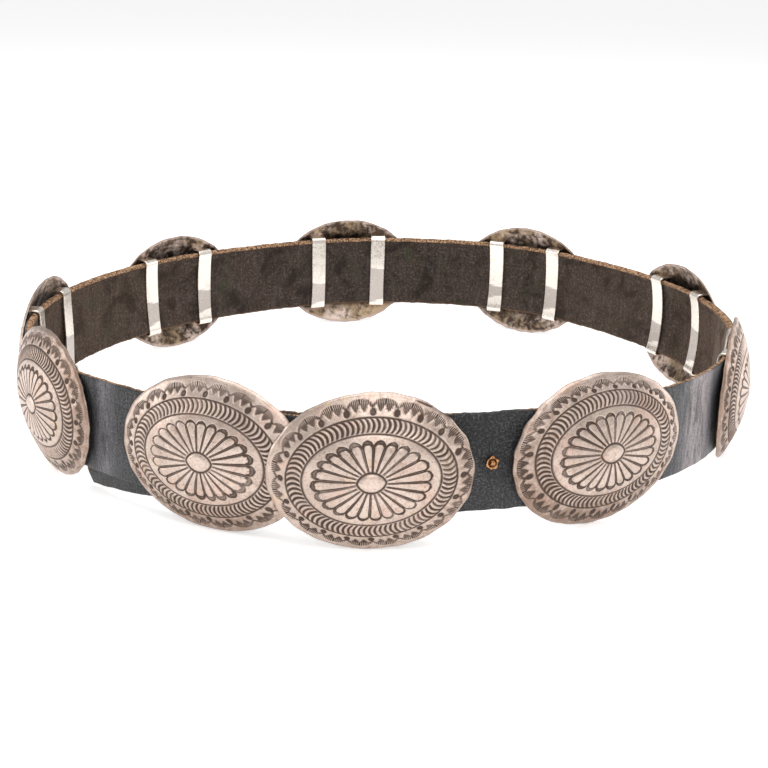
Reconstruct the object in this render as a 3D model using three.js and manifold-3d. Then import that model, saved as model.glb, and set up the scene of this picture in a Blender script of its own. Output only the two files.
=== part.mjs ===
// Concho belt: one leather strap, closed in a loop, carries ten domed oval silver conchos.
// Millimetres, Z up. The buckle concho faces -Y and the belt stands on the lower rims of its conchos.
import * as THREE from 'three';
import Module from 'manifold-3d';
import { mergeVertices } from 'three/addons/utils/BufferGeometryUtils.js';

const wasm = await Module();
wasm.setup();

// Strap sizes
const strapWidth = 38.1;
const strapThickness = 3;
const grainRounding = 0.6;       // rounded corner on the outer, grain side
const fleshBevelDepth = 1;       // raw bevel on the inner, flesh side, through the thickness
const fleshBevelHeight = 1.5;    // the same bevel, measured up the face
const tongueShow = 32;           // how far the tongue's tip reaches past its last concho's rim
const tongueDroop = 9.7;         // how far the free tip hangs below the strap
const tipClipLength = 3.5;       // clipped corners of the tip, along the strap
const tipClipHeight = 5;         // and across it
const buckleEndPast = 2.5;       // the strap's buckle end, past the strip that holds it

// Concho sizes
const conchoWidth = 76.2;
const rimOverhang = 10.95;       // how far a rim stands past the strap's edge
const hollowHeight = 8.9;        // from the rim's plane up to the dome's underside
const plateThickness = 1.2;
const bossLength = 10.1;
const bossRise = 0.45;

// Strips soldered to each concho's back, round the strap
const stripWidth = 8.1;
const stripThickness = 1;
const stripSpacing = 35.5;       // middle to middle

// Fastenings
const pegRadius = 2.5;           // post behind the buckle concho
const pegHeadRadius = 4.6;
const pegHeadThickness = 1.2;
const burrRadius = 2.5;          // small brass rivet between the buckle concho and its neighbour
const burrThickness = 0.7;
const rivetDomeRadius = 1.3;
const rivetDomeRise = 0.8;
const rivetShankRadius = 1.1;
const rivetHeadRadius = 3.1;     // on the flesh side
const rivetHeadThickness = 0.9;

// Clearances
const seatGap = 0.35;            // concho rim to strap, and buckle rim to the concho it overlaps
const stripPlay = 0.4;           // strip to strap, on the face and at both edges
const layerGap = 0.4;            // strap to strap, or strap to a strip under it
const holePlay = 0.4;            // hole to post or shank, all round

// Spacing of the conchos along the strap, anticlockwise from the buckle concho seen from above
const conchoGap = 30;            // usual clear length of strap between two rims
const buckleOverlap = 17.4;      // how much the buckle concho covers of its neighbour
const gapAfter = [
  { concho: 'buckle_concho', share: 0.36 },
  { concho: 'concho_1', share: 1.03 },
  { concho: 'concho_2', share: 0.89 },
  { concho: 'concho_3', share: 1.24 },
  { concho: 'concho_4', share: 0.97 },
  { concho: 'concho_5', share: 1.02 },
  { concho: 'concho_6', share: 1.10 },
  { concho: 'concho_7', share: 0.43 },
  { concho: 'concho_8', share: 0.57 },
];
const overlappedConcho = 'concho_9';

// Plan of the loop: control points of a smooth closed curve, in shares of half its width
const plan = [
  { across: -0.051, back: -1.010 },
  { across: 0.484, back: -0.896 },
  { across: 0.851, back: -0.626 },
  { across: 1.029, back: -0.152 },
  { across: 0.976, back: 0.303 },
  { across: 0.711, back: 0.713 },
  { across: 0.446, back: 0.934 },
  { across: 0.003, back: 0.999 },
  { across: -0.304, back: 0.911 },
  { across: -0.738, back: 0.626 },
  { across: -0.986, back: 0.200 },
  { across: -1.025, back: -0.282 },
  { across: -0.840, back: -0.645 },
  { across: -0.490, back: -0.911 },
];

// Fineness of the facets
const ovalSides = 32;
const roundSides = 12;
const strapStep = 9.5;
const lapStep = 4.5;             // finer where two layers of strap lie together

// Sizes that follow
const conchoHeight = strapWidth + 2 * rimOverhang;
const stripReach = stripSpacing / 2 + stripWidth / 2;
const layerLap = strapThickness + layerGap;
const layerTuck = strapThickness + stripPlay + stripThickness + layerGap;
const buckleStep = conchoWidth - buckleOverlap;
const tongueReach = buckleStep + conchoWidth / 2 + tongueShow;
const buckleEndReach = stripReach + buckleEndPast;
const UP = new THREE.Vector3(0, 0, 1);

// Stations of the conchos, as lengths along the strap
const stations = [];
let beltLength = 0;
for (const { concho, share } of gapAfter) {
  stations.push({ name: concho, along: beltLength });
  beltLength += conchoWidth + share * conchoGap;
}
stations.push({ name: overlappedConcho, along: beltLength });
beltLength += buckleStep;
stations[0].along = beltLength;  // the buckle concho sits on the strap's outer end

// The strap's line in plan, as a closed cubic B-spline
class BeltLine extends THREE.Curve {
  constructor(rows, halfWidth) {
    super();
    this.points = rows.map(({ across, back }) => new THREE.Vector3(across, back, 0).multiplyScalar(halfWidth));
    this.arcLengthDivisions = 100 * rows.length;
  }

  getPoint(t, target = new THREE.Vector3()) {
    const count = this.points.length;
    const place = (t % 1) * count;
    const first = Math.floor(place) % count;
    const x = place - Math.floor(place);
    const weights = [
      (1 - x) ** 3,
      3 * x ** 3 - 6 * x ** 2 + 4,
      -3 * x ** 3 + 3 * x ** 2 + 3 * x + 1,
      x ** 3,
    ];
    target.set(0, 0, 0);
    weights.forEach((weight, i) => {
      target.addScaledVector(this.points[(first + i - 1 + count) % count], weight / 6);
    });
    return target;
  }
}

const halfWidth = beltLength / new BeltLine(plan, 1).getLength();
const beltLine = new BeltLine(plan, halfWidth);

function ramp(from, to, x) {
  return THREE.MathUtils.smoothstep(x, from, to);
}

// How far a layer of the strap lies outside the belt's line: the buckle end lifts over the tongue,
// and the tongue drops behind the strips of the overlapped concho.
function layerOffset(along) {
  const fromBuckle = along > beltLength / 2 ? along - beltLength : along;
  const lift = layerLap * ramp(-buckleStep, -stripReach, fromBuckle);
  if (along > beltLength / 2) {
    return lift;
  }
  const tuck = ramp(stripReach, buckleStep - stripReach - lapStep, -fromBuckle);
  return lift - layerLap - (layerTuck - layerLap) * tuck;
}

function lineAt(along) {
  const share = THREE.MathUtils.euclideanModulo(along / beltLength, 1);
  const tangent = beltLine.getTangentAt(share);
  const outward = tangent.clone().cross(UP);
  return { point: beltLine.getPointAt(share), outward };
}

// Point on the outer face of the strap, halfway up
function strapPoint(along) {
  const { point, outward } = lineAt(along);
  return point.addScaledVector(outward, layerOffset(along));
}

// Local axes on the strap or a concho: x along the strap, y up, z outwards
function strapFrame(along, reach) {
  const tangent = strapPoint(along + reach).sub(strapPoint(along - reach)).normalize();
  const frame = new THREE.Matrix4().makeBasis(tangent, UP, tangent.clone().cross(UP));
  return frame.setPosition(strapPoint(along));
}

// Solids from three.js geometry, and back
function toSolid(geometry) {
  const bare = geometry.clone();
  bare.deleteAttribute('normal');
  bare.deleteAttribute('uv');
  const merged = mergeVertices(bare, 1e-4);
  const index = merged.index.array;
  const triangles = [];
  for (let i = 0; i < index.length; i += 3) {
    const [a, b, c] = index.slice(i, i + 3);
    if (a !== b && b !== c && c !== a) {
      triangles.push(a, b, c);
    }
  }
  return new wasm.Manifold(new wasm.Mesh({
    numProp: 3,
    vertProperties: new Float32Array(merged.attributes.position.array),
    triVerts: new Uint32Array(triangles),
  }));
}

function toGeometry(solid) {
  const { vertProperties, triVerts } = solid.getMesh();
  const geometry = new THREE.BufferGeometry();
  geometry.setAttribute('position', new THREE.BufferAttribute(vertProperties, 3));
  geometry.setIndex(new THREE.BufferAttribute(triVerts, 1));
  geometry.computeVertexNormals();
  return geometry;
}

// Height of the dome's underside over the rim's plane, from 0 at the middle to 1 at the rim
function underside(share) {
  return hollowHeight * (1 - share ** 2);
}

function ovalShare(x, y) {
  return Math.hypot(x / (conchoWidth / 2), y / (conchoHeight / 2));
}

// Oval turned body: rows of share of the oval and height, from the lower pole to the upper one
function ovalBody(rows) {
  const profile = rows.map(([share, height]) => new THREE.Vector2(share, height));
  const geometry = new THREE.LatheGeometry(profile, ovalSides);
  geometry.rotateX(Math.PI / 2);
  geometry.scale(conchoWidth / 2, conchoHeight / 2, 1);
  return toSolid(geometry);
}

const bossShare = bossLength / conchoWidth;
const bossFootShare = bossShare + 2 * bossRise / conchoWidth;
const frontShares = [0.93, 0.81, 0.67, 0.54, 0.34, bossFootShare];
const backShares = [0.36, 0.62, 0.84];

function front(share) {
  return underside(share) + plateThickness;
}

const plateBody = ovalBody([
  [0, underside(0)],
  ...backShares.map((share) => [share, underside(share)]),
  [1, 0],
  [1, plateThickness],
  ...frontShares.map((share) => [share, front(share)]),
  [bossShare, front(bossShare) + bossRise],
  [0, front(0) + bossRise],
]);

// Body that reaches halfway into the plate from behind, to trim what is soldered there
const solderDepth = plateThickness / 2;
const coreReach = 4 * layerTuck;
const coreRim = 0.985;
const solderCore = ovalBody([
  [0, -coreReach],
  [coreRim, -coreReach],
  [coreRim, underside(coreRim)],
  ...backShares.toReversed().map((share) => [share, underside(share) + solderDepth]),
  [0, underside(0) + solderDepth],
]);

// Strip bent round the strap: a U across x, its web behind `layers` of strap
function stripBody(layers) {
  const inside = strapWidth / 2 + stripPlay;
  const outside = inside + stripThickness;
  const web = -(layers + stripPlay);
  const legTop = hollowHeight + plateThickness;
  const shape = new THREE.Shape();
  shape.moveTo(-outside, web - stripThickness);
  shape.lineTo(outside, web - stripThickness);
  shape.lineTo(outside, legTop);
  shape.lineTo(inside, legTop);
  shape.lineTo(inside, web);
  shape.lineTo(-inside, web);
  shape.lineTo(-inside, legTop);
  shape.lineTo(-outside, legTop);
  shape.closePath();
  const geometry = new THREE.ExtrudeGeometry(shape, { depth: stripWidth, bevelEnabled: false });
  geometry.translate(0, 0, -stripWidth / 2);
  const across = new THREE.Vector3(1, 0, 0);
  const up = new THREE.Vector3(0, 1, 0);
  const outward = new THREE.Vector3(0, 0, 1);
  geometry.applyMatrix4(new THREE.Matrix4().makeBasis(up, outward, across));
  return geometry;
}

function cylinderBody(radius, from, to) {
  const geometry = new THREE.CylinderGeometry(radius, radius, to - from, roundSides);
  geometry.rotateX(Math.PI / 2);
  geometry.translate(0, 0, (from + to) / 2);
  return geometry;
}

// What a concho sits on: points of the strap's outer face under its plate
function strapPointsUnder(along) {
  const points = [];
  const reach = conchoWidth / 2 + stripWidth;
  for (let x = -reach; x <= reach; x += 1) {
    const place = along + x > beltLength + buckleEndReach ? along + x - beltLength : along + x;
    for (const height of [0, 0.5, 0.8, 1]) {
      points.push(strapPoint(place).addScaledVector(UP, height * strapWidth / 2));
    }
  }
  return points;
}

// Front of a seated plate, as points
function platePoints(frame) {
  const points = [];
  for (const share of [1, 0.93, 0.86, 0.79, 0.72, 0.65, 0.58]) {
    for (let i = 0; i < 4 * ovalSides; i += 1) {
      const angle = i * Math.PI / (2 * ovalSides);
      const x = share * Math.cos(angle) * conchoWidth / 2;
      const y = share * Math.sin(angle) * conchoHeight / 2;
      points.push(new THREE.Vector3(x, y, front(share)).applyMatrix4(frame));
    }
  }
  return points;
}

// Moves a concho's frame out until its plate clears the points by the seat gap
function seated(frame, points) {
  const toLocal = frame.clone().invert();
  let rise = -Infinity;
  for (const point of points) {
    const { x, y, z } = point.clone().applyMatrix4(toLocal);
    const share = ovalShare(x, y);
    if (share <= 1) {
      rise = Math.max(rise, z - underside(share));
    }
  }
  return frame.clone().multiply(new THREE.Matrix4().makeTranslation(0, 0, rise + seatGap));
}

const silver = { color: 0xb9aca2, roughness: 0.38, metalness: 0.9 };
const leather = { color: 0x2b2827, roughness: 0.62, metalness: 0 };
const brass = { color: 0xb98345, roughness: 0.35, metalness: 0.9 };

function piece(name, geometry, finish, frame) {
  const mesh = new THREE.Mesh(geometry, new THREE.MeshStandardMaterial(finish));
  mesh.name = name;
  frame.decompose(mesh.position, mesh.quaternion, mesh.scale);
  return mesh;
}

// Conchos: plate, two soldered strips and, behind the buckle concho, a post with a round head
const frames = new Map();
for (const { name, along } of stations.toReversed()) {
  const rests = strapPointsUnder(along);
  if (name === stations[0].name) {
    rests.push(...platePoints(frames.get(overlappedConcho)));
  }
  frames.set(name, seated(strapFrame(along, stripSpacing / 2), rests));
}
const buckleFrame = frames.get(stations[0].name);

function buckleDepth() {
  const back = strapPoint(0).applyMatrix4(buckleFrame.clone().invert());
  return back.z - strapThickness;
}

function conchoSolid({ name, along }) {
  const isBuckle = name === stations[0].name;
  const toLocal = frames.get(name).clone().invert();
  let solid = plateBody;
  for (const side of [-1, 1]) {
    const layers = isBuckle ? layerLap + strapThickness : strapThickness;
    const strip = stripBody(layers);
    const place = strapFrame(along + side * stripSpacing / 2, stripWidth / 2);
    strip.applyMatrix4(toLocal.clone().multiply(place));
    solid = solid.add(toSolid(strip).intersect(solderCore));
  }
  if (isBuckle) {
    const headTop = buckleDepth() - layerGap;
    const head = toSolid(cylinderBody(pegHeadRadius, headTop - pegHeadThickness, headTop));
    const post = toSolid(cylinderBody(pegRadius, headTop - pegHeadThickness / 2, hollowHeight + plateThickness));
    solid = solid.add(post.intersect(solderCore)).add(head);
  }
  return solid;
}

// Strap: one section of eight corners, carried along the line from the tongue's tip to the buckle end
function sectionAt(along) {
  const { point, outward } = lineAt(along);
  point.addScaledVector(outward, layerOffset(along));
  const fromTip = along + tongueReach;
  const clip = tipClipHeight * (1 - Math.min(1, fromTip / tipClipLength));
  const droopSpan = tongueReach - stripReach;
  const droop = tongueDroop * Math.max(0, 1 - fromTip / droopSpan) ** 1.1;
  const edge = strapWidth / 2 - clip;
  const corners = [
    [0, grainRounding - edge],
    [0, edge - grainRounding],
    [-grainRounding, edge],
    [fleshBevelDepth - strapThickness, edge],
    [-strapThickness, edge - fleshBevelHeight],
    [-strapThickness, fleshBevelHeight - edge],
    [fleshBevelDepth - strapThickness, -edge],
    [-grainRounding, -edge],
  ];
  return corners.map(([out, height]) => (
    point.clone().addScaledVector(outward, out).addScaledVector(UP, height - droop)
  ));
}

function strapStations() {
  const start = -tongueReach;
  const end = beltLength + buckleEndReach;
  const places = [start, start + tipClipLength];
  const addRun = (to, step) => {
    const from = places.at(-1);
    const count = Math.ceil((to - from) / step);
    for (let i = 1; i <= count; i += 1) {
      places.push(from + (to - from) * i / count);
    }
  };
  addRun(stripReach, lapStep);
  addRun(beltLength - buckleStep - stripReach, strapStep);
  addRun(end, lapStep);
  return places;
}

function strapSolid() {
  const sections = strapStations().map(sectionAt);
  const corners = sections[0].length;
  const positions = sections.flat().flatMap((corner) => corner.toArray());
  const index = [];
  for (let i = 0; i + 1 < sections.length; i += 1) {
    for (let j = 0; j < corners; j += 1) {
      const a = i * corners + j;
      const b = i * corners + (j + 1) % corners;
      index.push(a, a + corners, b, b, a + corners, b + corners);
    }
  }
  const last = (sections.length - 1) * corners;
  for (let j = 1; j + 1 < corners; j += 1) {
    index.push(0, j, j + 1);
    index.push(last, last + j + 1, last + j);
  }
  const geometry = new THREE.BufferGeometry();
  geometry.setAttribute('position', new THREE.Float32BufferAttribute(positions, 3));
  geometry.setIndex(index);
  return toSolid(geometry);
}

const rivetAlong = conchoWidth / 2 + gapAfter[0].share * conchoGap / 2;
const rivetFrame = strapFrame(rivetAlong, lapStep);

function holeCutter(radius, depth, frame) {
  const cutter = cylinderBody(radius + holePlay, -depth - layerTuck, layerTuck);
  cutter.applyMatrix4(frame);
  return toSolid(cutter);
}

function rivetSolid() {
  const face = layerGap;
  const back = -strapThickness - layerGap;
  const top = face + burrThickness;
  const domeShoulder = top + rivetDomeRise / 2;
  const profile = [
    [0, back - rivetHeadThickness],
    [0.7 * rivetHeadRadius, back - rivetHeadThickness],
    [rivetHeadRadius, back],
    [rivetShankRadius, back],
    [rivetShankRadius, face],
    [burrRadius, face],
    [burrRadius, top],
    [rivetDomeRadius, top],
    [rivetDomeRadius, domeShoulder],
    [0.6 * rivetDomeRadius, top + 0.85 * rivetDomeRise],
    [0, top + rivetDomeRise],
  ].map(([radius, height]) => new THREE.Vector2(radius, height));
  const geometry = new THREE.LatheGeometry(profile, roundSides);
  geometry.rotateX(Math.PI / 2);
  return toSolid(geometry);
}

const buckleHole = holeCutter(pegRadius, layerLap + strapThickness, strapFrame(beltLength, stripSpacing / 2));
const rivetHole = holeCutter(rivetShankRadius, strapThickness, rivetFrame);
const strap = strapSolid().subtract(buckleHole).subtract(rivetHole);

// Assembly, centred over its own footprint and standing on z = 0
const pieces = new THREE.Group();
pieces.add(piece('strap', toGeometry(strap), leather, new THREE.Matrix4()));
for (const station of stations) {
  pieces.add(piece(station.name, toGeometry(conchoSolid(station)), silver, frames.get(station.name)));
}
pieces.add(piece('rivet', toGeometry(rivetSolid()), brass, rivetFrame));

const extent = new THREE.Box3().setFromObject(pieces, true);
const middle = extent.getCenter(new THREE.Vector3());
pieces.position.set(-middle.x, -middle.y, -extent.min.z);

const belt = new THREE.Group();
belt.add(pieces);
export default belt;
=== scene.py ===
"""Silver concho belt on a black leather strap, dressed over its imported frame."""

import logging
import math
from dataclasses import dataclass, field
from enum import Enum

import bpy
import numpy as np
from mathutils import Matrix, Vector


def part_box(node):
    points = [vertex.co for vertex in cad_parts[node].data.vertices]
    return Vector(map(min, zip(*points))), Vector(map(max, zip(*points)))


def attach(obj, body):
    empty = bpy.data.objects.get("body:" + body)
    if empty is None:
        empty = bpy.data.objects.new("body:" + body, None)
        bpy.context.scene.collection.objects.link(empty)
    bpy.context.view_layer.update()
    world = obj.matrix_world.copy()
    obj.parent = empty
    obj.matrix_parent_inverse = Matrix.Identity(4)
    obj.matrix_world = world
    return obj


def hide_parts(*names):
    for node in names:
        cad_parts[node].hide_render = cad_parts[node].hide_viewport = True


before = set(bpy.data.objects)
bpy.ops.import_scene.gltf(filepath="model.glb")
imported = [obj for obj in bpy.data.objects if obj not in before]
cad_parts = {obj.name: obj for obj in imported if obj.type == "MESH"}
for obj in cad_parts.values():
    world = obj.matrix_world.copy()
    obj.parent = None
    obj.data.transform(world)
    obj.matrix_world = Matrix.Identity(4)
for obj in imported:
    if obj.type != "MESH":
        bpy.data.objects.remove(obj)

log = logging.getLogger("concho_belt")

MM = 0.001
UP = Vector((0.0, 0.0, 1.0))
TURN = 2.0 * math.pi
CREASE = math.radians(35.0)
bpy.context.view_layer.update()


def smooth(low: float, high: float, value: np.ndarray) -> np.ndarray:
    """Returns 0 below low, 1 above high and a smooth rise between."""
    share = np.clip((value - low) / (high - low), 0.0, 1.0)
    return share * share * (3.0 - 2.0 * share)


def bell(value: np.ndarray, width: float) -> np.ndarray:
    """Returns a bump of height 1 at 0 that fades out over width."""
    return np.exp(-((value / width) ** 2))


def unit_rows(rows: np.ndarray) -> np.ndarray:
    """Returns rows of x, y scaled to a length of 1."""
    return rows / np.hypot(rows[:, 0], rows[:, 1])[:, None]


def run_along(path: np.ndarray) -> np.ndarray:
    """Returns how far along a path each of its points lies."""
    return np.concatenate([[0.0], np.cumsum(np.hypot(*np.diff(path, axis=0).T))])


class Wander:
    """A gentle random curve that repeats once a turn."""

    def __init__(self, draw: np.random.Generator, slow: int, fast: int) -> None:
        """Draws the curve's waves.

        Args:
            draw: where the random numbers come from.
            slow: waves a turn of the slowest part.
            fast: waves a turn of the fastest part.
        """
        self.waves = np.arange(slow, fast + 1)
        self.sizes = draw.normal(0.0, 1.0, len(self.waves)) / np.sqrt(len(self.waves))
        self.starts = draw.uniform(0.0, TURN, len(self.waves))

    def at(self, turn: np.ndarray) -> np.ndarray:
        """Gives the curve's height.

        Args:
            turn: places round the turn, from 0 to 1.

        Returns:
            Heights of about -1 to 1.
        """
        angles = TURN * np.multiply.outer(turn, self.waves) + self.starts
        return (self.sizes * np.sin(angles)).sum(axis=-1)


def clear_selection() -> None:
    """Deselects every object."""
    bpy.ops.object.select_all(action="DESELECT")


def pick(piece: bpy.types.Object, chosen: np.ndarray) -> None:
    """Selects a mesh's vertices and enters edit mode.

    Args:
        piece: the object, which is the active one and in object mode.
        chosen: which vertices to select.
    """
    bpy.ops.object.mode_set(mode="EDIT")
    bpy.ops.mesh.select_mode(type="VERT")
    bpy.ops.mesh.select_all(action="DESELECT")
    bpy.ops.object.mode_set(mode="OBJECT")
    piece.data.vertices.foreach_set("select", chosen.astype(bool))
    bpy.ops.object.mode_set(mode="EDIT")


def points_of(piece: bpy.types.Object) -> np.ndarray:
    """Returns a mesh's vertices as rows of x, y, z."""
    flat = np.empty(3 * len(piece.data.vertices))
    piece.data.vertices.foreach_get("co", flat)
    return flat.reshape(-1, 3)


def put_points(piece: bpy.types.Object, points: np.ndarray) -> None:
    """Writes a mesh's vertices from rows of x, y, z."""
    piece.data.vertices.foreach_set("co", points.astype(np.float32).ravel())
    piece.data.update()


def put_marks(piece: bpy.types.Object, name: str, values: np.ndarray) -> None:
    """Writes one number a vertex, which the finishes read by name."""
    marks = piece.data.attributes.new(name, "FLOAT", "POINT")
    marks.data.foreach_set("value", values.astype(np.float32))


def face_outwards(piece: bpy.types.Object) -> None:
    """Turns all of a closed mesh's faces outwards and shades it smooth."""
    clear_selection()
    piece.select_set(True)
    bpy.context.view_layer.objects.active = piece
    bpy.ops.object.mode_set(mode="EDIT")
    bpy.ops.mesh.select_all(action="SELECT")
    bpy.ops.mesh.normals_make_consistent(inside=False)
    bpy.ops.object.mode_set(mode="OBJECT")
    bpy.ops.object.shade_smooth()


def dress(piece: bpy.types.Object, look: bpy.types.Material) -> None:
    """Turns a closed mesh's faces outwards, shades it smooth and gives it its one finish."""
    face_outwards(piece)
    piece.data.materials.clear()
    piece.data.materials.append(look)


def copy_of(blank: bpy.types.Object, name: str) -> bpy.types.Object:
    """Copies a blank with a mesh of its own.

    Args:
        blank: the modelled blank.
        name: the copy's name.

    Returns:
        The copy, in the scene.
    """
    piece = blank.copy()
    piece.data = blank.data.copy()
    piece.name = name
    piece.data.name = name
    bpy.context.scene.collection.objects.link(piece)
    return piece


def to_world(points: np.ndarray, seat: Matrix) -> np.ndarray:
    """Carries points in mm, in a seat's axes, into the row frame in metres."""
    turn = np.array(seat.to_3x3())
    return (points @ turn.T + np.array(seat.translation)) * MM


HUB = 0.02


@dataclass(frozen=True)
class DrumBlank:
    """A closed flat drum of radius 1: rings on its front, a rim, and coarser rings on its back."""

    around_front: int = 480
    rings_front: int = 86
    around_back: int = 160
    rings_back: int = 20
    rim_rings: int = 2

    def ring(self, piece: bpy.types.Object, radius: float, level: float) -> np.ndarray:
        """Returns which vertices lie on the ring at a radius and a level."""
        points = points_of(piece)
        out = np.hypot(points[:, 0], points[:, 1])
        return (np.abs(out - radius) < 1e-4) & (np.abs(points[:, 2] - level) < 1e-4)

    def face(self, piece: bpy.types.Object, sides: int, rings: int, level: float) -> None:
        """Joins the rim at a level to a small hub by rings, and closes the hub.

        Args:
            piece: the drum, in object mode.
            sides: vertices a ring.
            rings: rings from hub to rim.
            level: where the face lies.
        """
        bpy.ops.object.mode_set(mode="EDIT")
        bpy.ops.mesh.primitive_circle_add(vertices=sides, radius=HUB, location=(0.0, 0.0, level))
        bpy.ops.object.mode_set(mode="OBJECT")
        pick(piece, self.ring(piece, 1.0, level) | self.ring(piece, HUB, level))
        bpy.ops.mesh.bridge_edge_loops(number_cuts=rings - 2, interpolation="LINEAR")
        bpy.ops.object.mode_set(mode="OBJECT")
        pick(piece, self.ring(piece, HUB, level))
        bpy.ops.mesh.edge_face_add()
        bpy.ops.mesh.poke()
        bpy.ops.object.mode_set(mode="OBJECT")

    def model(self) -> bpy.types.Object:
        """Models the drum.

        Returns:
            The drum's object: front at level 0, back at level -1.
        """
        clear_selection()
        bpy.ops.mesh.primitive_circle_add(vertices=self.around_front, radius=1.0)
        piece = bpy.context.object
        self.face(piece, self.around_front, self.rings_front, 0.0)
        drop = -1.0 / (self.rim_rings + 1)
        for step in range(self.rim_rings):
            pick(piece, self.ring(piece, 1.0, step * drop))
            bpy.ops.mesh.extrude_region_move(TRANSFORM_OT_translate={"value": (0.0, 0.0, drop)})
            bpy.ops.object.mode_set(mode="OBJECT")
        bpy.ops.object.mode_set(mode="EDIT")
        bpy.ops.mesh.primitive_circle_add(
            vertices=self.around_back, radius=1.0, location=(0.0, 0.0, -1.0)
        )
        bpy.ops.object.mode_set(mode="OBJECT")
        last = self.rim_rings * drop
        pick(piece, self.ring(piece, 1.0, last) | self.ring(piece, 1.0, -1.0))
        bpy.ops.mesh.bridge_edge_loops()
        bpy.ops.object.mode_set(mode="OBJECT")
        self.face(piece, self.around_back, self.rings_back, -1.0)
        face_outwards(piece)
        return piece


@dataclass(frozen=True)
class RodBlank:
    """A closed rod of radius 1 and length 1 along Z, with rings at even steps."""

    around: int
    stations: int

    def model(self) -> bpy.types.Object:
        """Models the rod.

        Returns:
            The rod's object, from level 0 to level 1.
        """
        clear_selection()
        bpy.ops.mesh.primitive_circle_add(vertices=self.around, radius=1.0)
        piece = bpy.context.object
        bpy.ops.object.mode_set(mode="EDIT")
        bpy.ops.mesh.primitive_circle_add(
            vertices=self.around, radius=1.0, location=(0.0, 0.0, 1.0)
        )
        bpy.ops.mesh.select_all(action="SELECT")
        bpy.ops.mesh.bridge_edge_loops(number_cuts=self.stations - 2, interpolation="LINEAR")
        bpy.ops.object.mode_set(mode="OBJECT")
        for level in (0.0, 1.0):
            pick(piece, np.abs(points_of(piece)[:, 2] - level) < 1e-5)
            bpy.ops.mesh.edge_face_add()
            bpy.ops.mesh.inset(thickness=0.3)
            bpy.ops.object.mode_set(mode="OBJECT")
        return piece

    def read(self, piece: bpy.types.Object) -> tuple[np.ndarray, np.ndarray, np.ndarray]:
        """Reads where a rod's vertices lie on it.

        Args:
            piece: the rod, as modelled.

        Returns:
            Corner index round the rod, share of the length, and share of the radius.
        """
        points = points_of(piece)
        out = np.hypot(points[:, 0], points[:, 1])
        turn = np.arctan2(points[:, 1], points[:, 0]) / TURN * self.around
        corner = np.rint(turn - 0.25 * self.around).astype(int) % self.around
        return corner, points[:, 2], out


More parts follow.
